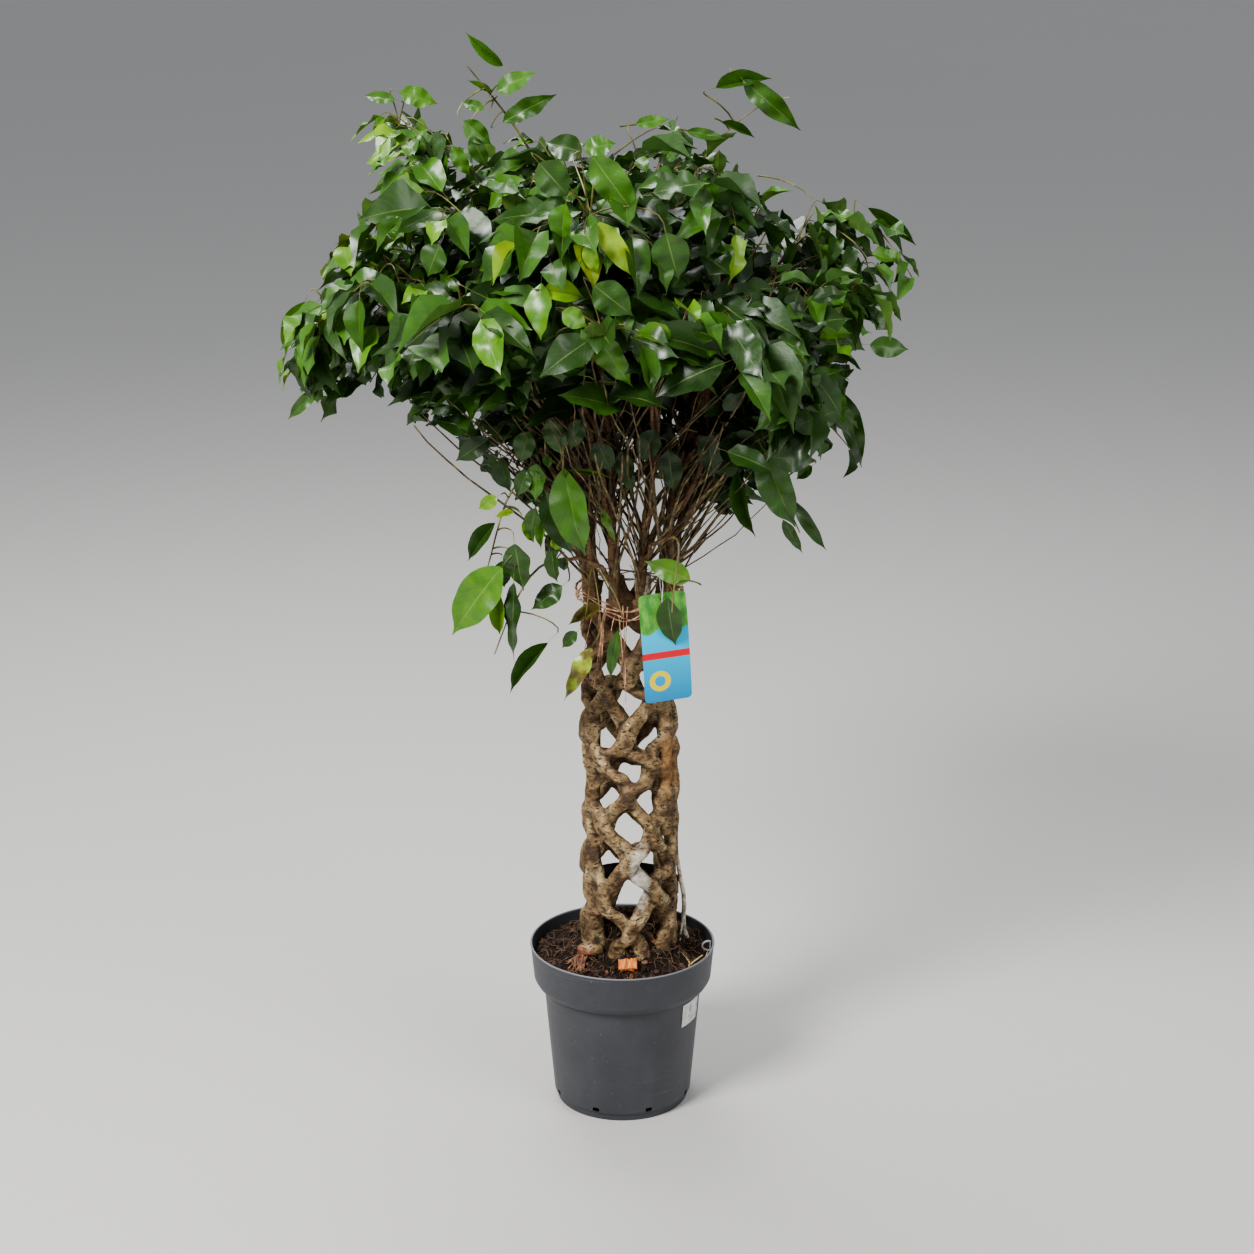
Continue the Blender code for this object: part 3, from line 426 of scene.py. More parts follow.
def soil_height(x, y):
    """Height of the soil's surface, with its mound, hollow and lumps."""
    mound = exp(-((x - 0.012) ** 2 + (y - 0.012) ** 2) / 0.0707**2)
    hollow = exp(-((x - 0.094) ** 2 + (y + 0.004) ** 2) / 0.024**2)
    lumps = 0.0016 * sin(130 * x + 1.0) * cos(110 * y) + 0.0012 * sin(240 * y + 90 * x)
    return 0.198 + 0.055 * mound - 0.018 * hollow + lumps


bpy.ops.object.select_all(action="DESELECT")
bpy.ops.mesh.primitive_grid_add(x_subdivisions=170, y_subdivisions=170, size=0.236)
soil = bpy.context.object
bpy.ops.object.mode_set(mode="EDIT")
pick("VERT", lambda vert: hypot(vert.co.x, vert.co.y) > SOIL_RADIUS + 0.0006)
bpy.ops.mesh.delete(type="VERT")
bpy.ops.object.mode_set(mode="OBJECT")
for vert in soil.data.vertices:
    vert.co.z = soil_height(vert.co.x, vert.co.y)
roughen(soil, (("clods", 0.012, 0.0060), ("crumbs", 0.004, 0.0034)), direction="Z")
print("soil surface", len(soil.data.polygons), "faces")

# %% [markdown]
# The surface becomes a closed body: its border is pulled out to the wall, extruded down to where the
# pot narrows, and filled.

# %% Close the soil body
edges_of = {}
for polygon in soil.data.polygons:
    for key in polygon.edge_keys:
        edges_of[key] = edges_of.get(key, 0) + 1
rim = {index for key, count in edges_of.items() if count == 1 for index in key}
for index in rim:
    point = soil.data.vertices[index].co
    share = (SOIL_RADIUS + 0.0004) / hypot(point.x, point.y)
    point.x *= share
    point.y *= share
bpy.ops.object.mode_set(mode="EDIT")
pick("EDGE", lambda edge: edge.is_boundary)
bpy.ops.mesh.extrude_edges_move(TRANSFORM_OT_translate={"value": (0, 0, -0.012)})
bpy.ops.transform.resize(value=(0.97, 0.97, 0), center_override=(0, 0, 0.176))
close_shell()
soil.name = "soil_body"
print("border points", len(rim))

# %% [markdown]
# Moist peat is almost black in its pores and brown on its crumbs, with tan shreds of bark and root
# through it. Fine noise gives the crumbs of 1 to 2 mm, which here are drawn at 3 mm so that they show.

# %% Peat
peat, tree, shader = new_material("moist_peat")
place = add_node(tree, "TexCoord").outputs["Object"]
crumb = add_node(tree, "TexNoise", {"Vector": place, "Scale": 300.0, "Detail": 6.0, "Roughness": 0.7})
brown = add_node(tree, "ValToRGB", {"Fac": crumb},
                 [(0.30, "#0d0907"), (0.50, "#251912"), (0.64, "#412d1f"), (0.80, "#6e543c")])
patch = add_node(tree, "TexNoise", {"Vector": place, "Scale": 34.0, "Detail": 3.0})
damp = add_node(tree, "MapRange",
                {"Value": patch, "From Min": 0.35, "From Max": 0.65, "To Min": 0.45, "To Max": 1.15})
shade = add_node(tree, "Mix", {"Factor": 1.0, "A": brown, "B": damp},
                 data_type="RGBA", blend_type="MULTIPLY")
bump = add_node(tree, "Bump", {"Height": crumb, "Strength": 1.0, "Distance": 0.003})
fill(shader, {"Base Color": shade, "Normal": bump, "Roughness": 0.9, "Specular IOR Level": 0.3})
seat(soil, ["soil"], [peat], angle=60)

# %% [markdown]
# ## Loose things on the soil
#
# The surface is littered with root fibres, crumbs of bark and a few straws. They catch the light and
# make the soil read as soil. Fibres are short bent tubes with few sides. Crumbs are one lump, made
# once from an icosphere and pushed out of round, then copied with its own turn and size each time.

# %% Fibres
chance = Random(11)


def litter_spot(reach):
    """A random place on the soil, clear of the pot's wall."""
    while True:
        x = chance.uniform(-reach, reach)
        y = chance.uniform(-reach, reach)
        if hypot(x, y) < reach:
            return x, y


def fibre_path(x, y, length, thick, lift):
    """A fibre that wanders over the soil in five points."""
    turn = chance.uniform(0, 2 * pi)
    path = []
    for k in range(5):
        z = soil_height(x, y) + 0.0022 + lift * sin(pi * k / 4)
        path.append((Vector((x, y, z)), thick * (1 - 0.12 * k)))
        turn += chance.uniform(-0.8, 0.8)
        x += cos(turn) * length / 4
        y += sin(turn) * length / 4
        if hypot(x, y) > 0.113:
            turn += pi
            x *= 0.95
            y *= 0.95
    return path


fibre_paths = []
for _ in range(420):
    x, y = litter_spot(0.110)
    length = chance.uniform(0.010, 0.030)
    thick = chance.uniform(0.00025, 0.0006)
    fibre_paths.append(fibre_path(x, y, length, thick, chance.uniform(-0.001, 0.004)))
fibres = tubes("root_fibres", fibre_paths, sides=4)
# Each straw's foot, middle and end, and its radius at the foot and at the end.
STRAWS = (((0.084, -0.052, 0.2035), (0.094, -0.047, 0.2105), (0.104, -0.040, 0.2150), 0.0009, 0.0006),
          ((0.086, -0.056, 0.2035), (0.087, -0.046, 0.2075), (0.083, -0.034, 0.2080), 0.0008, 0.0005),
          ((0.100, -0.052, 0.2020), (0.108, -0.036, 0.2090), (0.111, -0.020, 0.2110), 0.0007, 0.0005))
straw_paths = [[(Vector(foot), thick), (Vector(middle), thick), (Vector(end), tip)]
               for foot, middle, end, thick, tip in STRAWS]
straws = tubes("pale_straws", straw_paths, sides=6)
print("fibres", len(fibre_paths), "straws", len(straw_paths))

# %% Dry root and straw finish
dry_root = grained_finish("dry_root_fibre", 90.0,
                          [(0.34, "#3a2a1e"), (0.46, "#6e543c"), (0.56, "#5a3a28"), (0.68, "#a38a68")],
                          0.75, coarse=0.7)
seat(fibres, materials=[dry_root])
straw = grained_finish("dry_straw", 500.0, [(0.35, "#b08f55"), (0.65, "#dcc796")], 0.6, detail=3.0)
seat(straws, materials=[straw])

# %% Crumbs
bpy.ops.object.select_all(action="DESELECT")
bpy.ops.mesh.primitive_ico_sphere_add(subdivisions=2, radius=1)
lump = bpy.context.object
for vert in lump.data.vertices:
    vert.co *= 1 + 0.45 * noise.noise(vert.co * 1.3)
crumbs = []
for _ in range(190):
    x, y = litter_spot(0.111)
    size = chance.uniform(0.0014, 0.0042)
    crumb = add_object("crumb", lump.data.copy())
    turn = Matrix.Rotation(chance.uniform(0, 6.28), 4, "Z")
    turn = turn @ Matrix.Rotation(chance.uniform(0, 6.28), 4, "X")
    flat = Matrix.Diagonal((size * chance.uniform(0.8, 1.8), size, size * chance.uniform(0.5, 0.9), 1))
    crumb.data.transform(Matrix.Translation((x, y, soil_height(x, y) + 0.0012)) @ turn @ flat)
    crumbs.append(crumb)
bpy.data.objects.remove(lump)
crumbs = join("soil_crumbs", crumbs)
bark_mulch, tree, shader = new_material("composted_bark")
place = add_node(tree, "TexCoord").outputs["Object"]
mixed = add_node(tree, "TexNoise", {"Vector": place, "Scale": 70.0, "Detail": 3.0, "Roughness": 0.7})
tints = add_node(tree, "ValToRGB", {"Fac": mixed},
                 [(0.36, "#150e0a"), (0.50, "#33231a"), (0.60, "#5b3d28"), (0.72, "#8a6746")])
grain = add_node(tree, "TexNoise", {"Vector": place, "Scale": 700.0, "Detail": 2.0})
bump = add_node(tree, "Bump", {"Height": grain, "Strength": 0.6, "Distance": 0.0008})
fill(shader, {"Base Color": tints, "Normal": bump, "Roughness": 0.85})
seat(crumbs, materials=[bark_mulch])

# %% [markdown]
# The orange chip is a splinter of fresh wood, broken across the grain at one end. A box is cut into
# small faces, its ends are torn by a noise that depends on the place across the grain, and its faces
# get long shallow ridges.

# %% Wood chip
bpy.ops.mesh.primitive_cube_add(size=1)
chip = bpy.context.object
chip.scale = (0.024, 0.017, 0.005)
bpy.ops.object.transform_apply(scale=True)
bpy.ops.object.mode_set(mode="EDIT")
bpy.ops.mesh.subdivide(number_cuts=9)
bpy.ops.object.mode_set(mode="OBJECT")
for vert in chip.data.vertices:
    torn = noise.noise(Vector((vert.co.x * 500, vert.co.z * 150, 0)))
    vert.co.y *= 1 + 0.30 * torn
    vert.co.z += 0.0014 * noise.noise(Vector((vert.co.x * 420, vert.co.y * 60, 3.0)))
low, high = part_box("wood_chip")
centre = (Vector(low) + Vector(high)) / 2
lean = Matrix.Rotation(radians(22), 4, "X") @ Matrix.Rotation(radians(-6), 4, "Y")
chip.data.transform(Matrix.Translation(centre + Vector((0, 0, 0.001))) @ lean)
chip.name = "fresh_wood_chip"
chip_wood = grained_finish("split_softwood", 1.0,
                           [(0.34, "#8f4a22"), (0.52, "#c9783c"), (0.68, "#e0a066")],
                           0.7, stretch=(420.0, 60.0, 120.0), relief=(0.7, 0.001))
seat(chip, ["wood_chip"], [chip_wood], angle=30)

# %% [markdown]
# ## The braided trunk
#
# Ten young stems were woven into an open tube and left to grow. Where they press together they have
# fused, so the lattice looks poured: swollen crossings, oval windows, no clean edges. Single tubes
# would show a seam at every crossing. So the tubes and a blob at each crossing are made roughly,
# then melted into one skin with a voxel Remesh of 2.2 mm, smoothed, and made lumpy again.
#
# A stem's route is the CAD's: step 0 is the crossing at the front, and each step is one crossing on.
# Each stem is two tubes side by side, because the real ones are broader than they are deep. Three
# straight shoots that have grown into the lattice stand at its left and right sides.

# %% Stem routes
TRUNK_X = 0.009
AXIS = Vector((TRUNK_X, 0, 0))
BRAID_RADIUS = 0.052
BRAID_FOOT = -4.5
BRAID_TOP = 5.5
EASING = 0.10


def step_height(step):
    """Height of a step of the braid."""
    return 0.436 + step * 0.04425


def eased(step):
    """The step, held at both ends of the braid so that a stem goes straight on there."""
    low = BRAID_FOOT + EASING * log(1 + exp((step - BRAID_FOOT) / EASING))
    return BRAID_TOP - EASING * log(1 + exp((BRAID_TOP - low) / EASING))


def stem_azimuth(stem, step):
    """Where round the trunk a stem is. Even stems wind one way and odd ones the other."""
    way = 1 if stem % 2 == 0 else -1
    held = eased(step)
    return -90 + 72 * (stem // 2) + way * 36 * (held - 0.55 * sin(2 * pi * held) / (2 * pi))


def stem_point(stem, step):
    """The middle of a stem: it passes over its neighbour at one crossing and under at the next."""
    way = 1 if stem % 2 == 0 else -1
    swing = cos(pi * eased(step))
    radius = BRAID_RADIUS + way * 0.0048 * abs(swing) ** 0.4 * (1 if swing > 0 else -1)
    return polar(radius, stem_azimuth(stem, step), step_height(step)) + AXIS


def uneven(seed, t):
    """A slow wobble between about -1 and 1, different for each seed."""
    return noise.noise(Vector((t, 7.3 * seed, 1.7 * seed)))


def warped(point):
    """Pushes a point up or down and round the trunk by a slow noise, so that no two windows match."""
    spot = Vector((point.x * 26, point.y * 26, point.z * 15))
    turn = radians(8.5 * noise.noise(spot + Vector((9, 0, 0))))
    lift = 0.019 * noise.noise(spot)
    fade = clamp((point.z - 0.225) / 0.04) * clamp((0.70 - point.z) / 0.04)
    x = point.x - TRUNK_X
    turn *= fade
    return Vector((TRUNK_X + x * cos(turn) - point.y * sin(turn), x * sin(turn) + point.y * cos(turn),
                   point.z + lift * fade))


stem_paths = []
for stem in range(10):
    strands = ([], [])
    for k in range(-53, 61):
        step = k / 10
        point = stem_point(stem, step)
        if point.z < 0.196:
            continue
        wander = Vector((uneven(stem, 1.1 * step), uneven(stem + 20, 1.1 * step), 0)) * 0.0055
        foot = clamp((0.236 - point.z) / 0.030)
        radius = 0.0071 * (1 + 0.36 * uneven(stem + 40, 0.8 * step)) + 0.0022 * foot
        around = Vector((-point.y, point.x - TRUNK_X, 0)).normalized()
        spread = 0.0036 * (1 + 0.5 * uneven(stem + 70, 0.7 * step))
        for side, strand in zip((-1, 1), strands):
            twist = 0.0016 * side * uneven(stem + 80, 0.9 * step)
            depth = Vector((around.y, -around.x, 0)) * twist
            strand.append((warped(point) + wander + around * spread * side + depth, radius))
    stem_paths += strands
# The azimuth, the lowest and highest point and the radius of each grown-in shoot.
GROWN_IN = ((-149, 0.205, 0.540, 0.0100), (-33, 0.380, 0.600, 0.0090), (4, 0.205, 0.500, 0.0090))
for azimuth, low, high, size in GROWN_IN:
    path = []
    for k in range(17):
        turned = azimuth + 7 * uneven(azimuth, 0.9 * k)
        spot = polar(BRAID_RADIUS + 0.002, turned, low + (high - low) * k / 16)
        path.append((spot + AXIS, size * (1 + 0.35 * uneven(azimuth + 5, 0.8 * k))))
    stem_paths.append(path)
print("stems and grown-in shoots", len(stem_paths), "points each", len(stem_paths[0]))

# %% Rough trunk
def swelling(spot, size, scale):
    """A blob that the remesh will melt into the stems."""
    bpy.ops.mesh.primitive_uv_sphere_add(segments=16, ring_count=8, radius=size, location=spot, scale=scale)
    return bpy.context.object


rough_parts = [tubes("stems", stem_paths, sides=12)]
for step in range(-4, 6):
    for k in range(5):
        azimuth = -90 + 72 * k + 36 * step
        seed = 5 * step + k
        size = 0.0082 * (1 + 0.45 * noise.noise(Vector((seed * 1.7, 2.0, 0.5))))
        spot = warped(polar(BRAID_RADIUS, azimuth, step_height(step)) + AXIS)
        rough_parts.append(swelling(spot, size, (1.0, 1.0, 2.3)))
rough_parts.append(swelling((-0.041, -0.046, 0.226), 1, (0.018, 0.012, 0.011)))
rough_parts.append(swelling((0.048, -0.038, 0.420), 1, (0.010, 0.008, 0.026)))
trunk = join("braided_trunk", rough_parts)
bpy.ops.object.transform_apply(location=True, rotation=True, scale=True)
apply_modifier(trunk, "REMESH", mode="VOXEL", voxel_size=0.0022)
apply_modifier(trunk, "SMOOTH", factor=0.5, iterations=8)
roughen(trunk, (("growth_lumps", 0.030, 0.0040), ("bark_ridges", 0.0060, 0.0016)))
print("trunk", len(trunk.data.polygons), "faces")

# %% [markdown]
# Fig bark is thin and smooth, tan to cream, crossed by dark corky pores a few millimetres wide and
# stained brown where water has run. Each of these is a noise at that size with a hard threshold.
# Hollows get painted shade: they are darkened by the surface's own shape. A few patches belong to
# this plant: bare whitish bark on the lower front, an orange-brown flank at the right and a red-brown
# foot at the left. Above the braid the wood is young and red-brown.

# %% Fig bark
# Each patch's middle, its half sizes, its colour and how strong it is.
BARK_PATCHES = [
    ((0.022, -0.060, 0.330), (0.013, 0.030, 0.042), "#d6cfc0", 0.75),
    ((-0.024, -0.055, 0.352), (0.010, 0.025, 0.022), "#bfb39e", 0.45),
    ((0.060, -0.030, 0.475), (0.014, 0.040, 0.042), "#b07a42", 0.50),
    ((-0.055, -0.052, 0.222), (0.017, 0.020, 0.010), "#96533a", 0.80),
]


def bark(name, shift, red_from):
    """Fig bark. The shift moves its pattern, and above red_from the wood is young and red-brown."""
    material, tree, shader = new_material(name)
    place = add_node(tree, "TexCoord").outputs["Object"]
    moved = add_node(tree, "Mapping", {"Vector": place, "Location": (shift, shift, 0)})
    broad = add_node(tree, "TexNoise", {"Vector": moved, "Scale": 42.0, "Detail": 5.0, "Roughness": 0.62})
    coat = add_node(tree, "ValToRGB", {"Fac": broad},
                    [(0.30, "#44331f"), (0.42, "#755d40"), (0.54, "#9b815c"), (0.70, "#c4af88")])
    across = add_node(tree, "Mapping", {"Vector": moved, "Scale": (1.0, 1.0, 1.9)})
    pores = add_node(tree, "TexNoise", {"Vector": across, "Scale": 190.0, "Detail": 3.0, "Roughness": 0.6})
    pore = add_node(tree, "MapRange", {"Value": pores, "From Min": 0.56, "From Max": 0.63})
    pored = add_node(tree, "Mix", {"Factor": pore, "A": coat, "B": "#33241a"}, data_type="RGBA")
    stains = add_node(tree, "TexNoise",
                      {"Vector": across, "Scale": 75.0, "Detail": 4.0, "Distortion": 0.6})
    stain = add_node(tree, "MapRange",
                     {"Value": stains, "From Min": 0.51, "From Max": 0.64, "To Max": 0.80})
    colour = add_node(tree, "Mix", {"Factor": stain, "A": pored, "B": "#4a3526"}, data_type="RGBA")
    for centre, size, tint, strength in BARK_PATCHES:
        scale = tuple(1 / side for side in size)
        offset = tuple(-c / side for c, side in zip(centre, size))
        spot = add_node(tree, "Mapping", {"Vector": place, "Location": offset, "Scale": scale})
        reach = add_node(tree, "VectorMath", {0: spot}, operation="LENGTH").outputs["Value"]
        frayed = add_node(tree, "Math", {0: pores, 1: 0.9, 2: reach}, operation="MULTIPLY_ADD")
        share = add_node(tree, "MapRange",
                         {"Value": frayed, "From Min": 1.70, "From Max": 1.15, "To Max": strength})
        grained = add_node(tree, "MapRange", {"Value": stains, "From Min": 0.35, "From Max": 0.70,
                                              "To Min": 1.1, "To Max": 0.55})
        bare = add_node(tree, "Mix", {"Factor": 1.0, "A": tint, "B": grained},
                        data_type="RGBA", blend_type="MULTIPLY")
        colour = add_node(tree, "Mix", {"Factor": share, "A": colour, "B": bare}, data_type="RGBA")
    level = add_node(tree, "SeparateXYZ", {"Vector": place}).outputs["Z"]
    wavy = add_node(tree, "Math", {0: broad, 1: 0.09, 2: level}, operation="MULTIPLY_ADD")
    young = add_node(tree, "MapRange", {"Value": wavy, "From Min": red_from, "From Max": red_from + 0.07,
                                        "To Max": 0.72})
    redwood = add_node(tree, "ValToRGB", {"Fac": pores},
                       [(0.35, "#3d261b"), (0.55, "#735038"), (0.7, "#a3845f")])
    aged = add_node(tree, "Mix", {"Factor": young, "A": colour, "B": redwood}, data_type="RGBA")
    # Painted shade: the hollows, found by the surface's pointiness, are darkened.
    curve = add_node(tree, "NewGeometry").outputs["Pointiness"]
    hollow = add_node(tree, "MapRange",
                      {"Value": curve, "From Min": 0.455, "From Max": 0.535, "To Min": 0.06})
    with_painted_light_and_shade = add_node(tree, "Mix", {"Factor": 1.0, "A": aged, "B": hollow},
                    data_type="RGBA", blend_type="MULTIPLY")
    height = add_node(tree, "Math", {0: pores, 1: -0.6, 2: stains}, operation="MULTIPLY_ADD")
    bump = add_node(tree, "Bump", {"Height": height, "Strength": 0.55, "Distance": 0.0022})
    fill(shader, {"Base Color": with_painted_light_and_shade, "Normal": bump, "Roughness": 0.72, "Specular IOR Level": 0.35})
    return material


fig_bark = bark("fig_bark", 0.0, 0.655)
STEMS = [f"stem_{n:02d}" for n in range(1, 11)]
seat(trunk, STEMS, [fig_bark], angle=80)

# %% [markdown]
# ## The limbs and boughs
#
# Above the braid each stem goes on as a limb, which leans outwards and forks into boughs. The same
# routes as in the CAD are followed, so that the leaves stay where the CAD has them. Thin tubes with a
# slight wobble are enough here: the bark is young and the boughs are half hidden by leaves.

# %% Limb and bough routes
LIMB_TOP = 0.96
# Each tier's number of sprays, the reach and height of its tips, its first azimuth, the reach and
# height of its twigs' ends, the height of its forks, and how far it is drawn in at the front.
TIERS = (
    (10, 0.225, 0.985, 4.0, 0.345, 0.955, 0.80, 0.35),
    (10, 0.185, 1.080, 22.0, 0.320, 1.085, 0.86, 0.0),
    (7, 0.130, 1.130, 10.0, 0.240, 1.205, 0.90, 0.0),
    (3, 0.045, 1.135, 70.0, 0.075, 1.265, 0.93, 0.0),
)
# The tip, end, sag, azimuth and fork height of each spray that makes the outline.
FEATURES = (
    ((-0.095, -0.030, 1.190), (-0.180, -0.050, 1.350), 0.010, 216, 0.91),
    ((0.085, -0.040, 1.190), (0.195, -0.060, 1.315), 0.030, 324, 0.91),
    ((-0.150, 0.010, 1.170), (-0.265, 0.000, 1.275), 0.020, 180, 0.91),
    ((-0.270, -0.050, 1.060), (-0.385, -0.070, 1.005), 0.030, 180, 0.84),
    ((0.210, -0.005, 1.135), (0.315, 0.000, 1.150), 0.020, 360, 0.87),
    ((-0.110, -0.080, 0.860), (-0.170, -0.120, 0.740), 0.000, 216, 0.77),
    ((-0.075, -0.095, 0.765), (-0.155, -0.130, 0.655), 0.020, 252, 0.725),
    ((0.150, -0.070, 0.880), (0.215, -0.100, 0.800), 0.010, 324, 0.77),
    ((0.062, -0.120, 0.800), (0.060, -0.150, 0.715), 0.010, 288, 0.745),
)


def limb_point(stem, z):
    """The middle of a stem's limb at a height above the braid."""
    share = max(0.0, (z - step_height(BRAID_TOP)) / (LIMB_TOP - step_height(BRAID_TOP)))
    sway = 2.5 * sin(5.0 * share + 2.4 * stem)
    radius = BRAID_RADIUS + 0.046 * share**1.4
    return polar(radius, stem_azimuth(stem, 6.5) % 360 + sway, z) + AXIS


def bezier(a, b, c, d, t):
    """A point on a cubic Bezier curve."""
    return a * (1 - t) ** 3 + b * (3 * t * (1 - t) ** 2) + c * (3 * t * t * (1 - t)) + d * t**3


def bough_curve(stem, fork, tip):
    """The four control points of the bough that leaves a limb at a height and ends at a tip."""
    start = limb_point(stem, fork)
    out = Vector((start.x - TRUNK_X, start.y, 0)).normalized()
    reach = (tip - start).length
    first = start + (out * 0.8 + UP).normalized() * reach * 0.35
    second = tip - ((tip - first) * Vector((1, 1, 0.35))).normalized() * reach * 0.3
    return start, first, second, tip


def nearest_limb(azimuth):
    """The stem whose limb stands closest to an azimuth."""
    return min(range(10), key=lambda s: abs((stem_azimuth(s, 6.5) - azimuth + 180) % 360 - 180))


sprays = []
for count, radius, height, first, end_radius, end_height, fork, front_draw in TIERS:
    for k in range(count):
        azimuth = first + 360 * k / count
        odd = sin(7.1 * k + 3.0 * count)
        drawn = 1 - front_draw * max(0, -sin(radians(azimuth))) ** 2
        shift = Vector((-0.022 * height, 0, 0))
        tip = polar(radius * drawn * (1 + 0.06 * odd), azimuth, height + 0.014 * odd) + shift
        reach = end_radius * drawn * (1 + 0.04 * odd)
        end = polar(reach, azimuth + 4 * odd, end_height + 0.02 * odd) + shift
        sprays.append((tip, end, 0.022, azimuth, fork))
sprays += [(Vector(tip), Vector(end), sag, azimuth, fork) for tip, end, sag, azimuth, fork in FEATURES]
bough_curves = [bough_curve(nearest_limb(azimuth), fork, tip) for tip, _, _, azimuth, fork in sprays]
print("sprays", len(sprays))

# %% Limbs and boughs
wood_paths = []
for stem in range(10):
    points = [stem_point(stem, step / 4) for step in range(19, 23)]
    points += [limb_point(stem, step_height(BRAID_TOP) + 0.0133 * k) for k in range(1, 22)]
    path = []
    for k, point in enumerate(points):
        wobble = Vector((uneven(stem, 0.5 * k), uneven(stem + 3, 0.5 * k), 0)) * 0.0035
        radius = 0.0080 - 0.0050 * (k / len(points)) ** 0.7 + 0.0010 * uneven(stem + 9, 0.6 * k)
        path.append((point + wobble, radius))
    wood_paths.append(path)
for number, curve in enumerate(bough_curves):
    path = []
    for k in range(15):
        t = k / 14
        wobble = Vector((uneven(number, 4 * t), uneven(number + 50, 4 * t), uneven(number + 90, 4 * t)))
        path.append((bezier(*curve, t) + wobble * 0.010 * sin(pi * t), 0.0036 - 0.0016 * t))
    wood_paths.append(path)
limbs = tubes("limbs_and_boughs", wood_paths, sides=8)
young_bark = bark("young_fig_bark", 3.0, 0.60)
seat(limbs, STEMS, [young_bark], angle=70)

# %% [markdown]
# Thin shoots, which the CAD leaves out, rise between the boughs. Most lean outwards through the crown,
# some stand upright in its middle, and later they bear its inner leaves. Their bark is young: olive
# brown and dull, with faint rings.

# %% Thin shoots
chance = Random(23)
shoot_curves = []
shoot_paths = []
for number in range(230):
    stem = number % 10
    start = limb_point(stem, chance.uniform(0.69, 0.86))
    out = Vector((start.x - TRUNK_X, start.y, 0)).normalized()
    way = Matrix.Rotation(radians(chance.uniform(-80, 80)), 3, "Z") @ out
    rise = chance.uniform(0.10, 0.32)
    end = start + way * min(0.24, rise * chance.uniform(0.35, 1.35)) + UP * rise
    end.x = min(end.x, 0.23)
    curve = (start, start + UP * rise * 0.30 + way * 0.03, end - (way * 0.5 + UP) * rise * 0.25, end)
    thick = chance.uniform(0.0009, 0.0021)
    path = []
    for k in range(10):
        wobble = Vector((uneven(number, 0.5 * k), uneven(number + 200, 0.5 * k), 0))
        path.append((bezier(*curve, k / 9) + wobble * 0.012 * sin(pi * k / 9), thick * (1 - 0.5 * k / 9)))
    shoot_paths.append(path)
    shoot_curves.append(curve)
upright_curves = []
for number in range(90):
    start = limb_point(number % 10, chance.uniform(0.80, 0.93))
    reach = chance.uniform(0.05, 0.25)
    azimuth = chance.uniform(0, 360)
    top = chance.uniform(1.00, 1.25) - 0.7 * max(0.0, reach - 0.15)
    reach *= 1 - 0.30 * max(0.0, -sin(radians(azimuth)))
    end = polar(reach, azimuth, top) + Vector((-0.018, 0, 0))
    curve = (start, start + UP * 0.07, end.lerp(start, 0.35) + UP * 0.02, end)
    shoot_paths.append([(bezier(*curve, k / 9), 0.0017 - 0.0008 * k / 9) for k in range(10)])
    upright_curves.append(curve)
shoots = tubes("bare_shoots", shoot_paths, sides=6)
shoot_bark = grained_finish("olive_shoot_bark", 1.0,
                            [(0.34, "#372b1b"), (0.5, "#5d4d32"), (0.66, "#86754d")],
                            0.65, stretch=(40.0, 40.0, 110.0))
seat(shoots, materials=[shoot_bark], angle=70)

# %% [markdown]
# ## One leaf
#
# A weeping fig's leaf is 5 to 9 cm long, half as wide, with a long drip tip and wavy margins. There
# are about three thousand, so the blade is modelled once with few faces: a grid whose rows are scaled
# to the outline. Then the upper skin is doubled into an under skin, joined at the margin, so that the
# leaf is closed and its underside can have a finish of its own. A second blade with finer rows is for
# the leaves that stand free or lie at the front, where the eye can follow the margin. The midrib and
# the veins are drawn by the material from the UV map that the grid brings along.

# %% Leaf outline
# How far along the blade, and the share of its full width there.
LEAF_WIDTHS = ((0.00, 0.05), (0.06, 0.42), (0.14, 0.74), (0.25, 0.95), (0.38, 1.00), (0.52, 0.97),
               (0.66, 0.80), (0.78, 0.50), (0.86, 0.25), (0.92, 0.10), (1.00, 0.015))


def between(table, x):
    """Reads a table of (x, value) by straight lines between its rows."""
    for (low, first), (high, second) in zip(table, table[1:]):
        if x <= high:
            return first + (second - first) * max(0.0, (x - low) / (high - low))
    return table[-1][1]


def make_blade(columns, rows):
    """A flat leaf blade, one unit long, whose foot is at 0.2."""
    bpy.ops.object.select_all(action="DESELECT")
    bpy.ops.mesh.primitive_grid_add(x_subdivisions=columns, y_subdivisions=rows, size=1, calc_uvs=True)
    bpy.ops.object.mode_set(mode="EDIT")
    for row in range(rows + 1):
        y = -0.5 + row / rows
        along = 1 - (1 - row / rows) ** 1.15
        pick("VERT", lambda vert: abs(vert.co.y - y) < 1e-4 and abs(vert.co.z) < 1e-4)
        bpy.ops.transform.resize(value=(between(LEAF_WIDTHS, along), 1, 1), center_override=(0, y, 0))
        bpy.ops.transform.translate(value=(0, along - y, 2.0))
    bpy.ops.mesh.select_all(action="SELECT")
    bpy.ops.transform.translate(value=(0, 0.2, -2.0))
    bpy.ops.object.mode_set(mode="OBJECT")
    return bpy.context.object


blade = make_blade(4, 8)
fine_blade = make_blade(8, 22)
print("blade points", len(blade.data.vertices), "and", len(fine_blade.data.vertices))

# %% [markdown]
# The leaf's stalk is a fifth of its length. Five ways to bend the leaf are enough for the eye never
# to see a copy: gently arched, folded along the midrib, curled at the tip, wavy, and twisted.

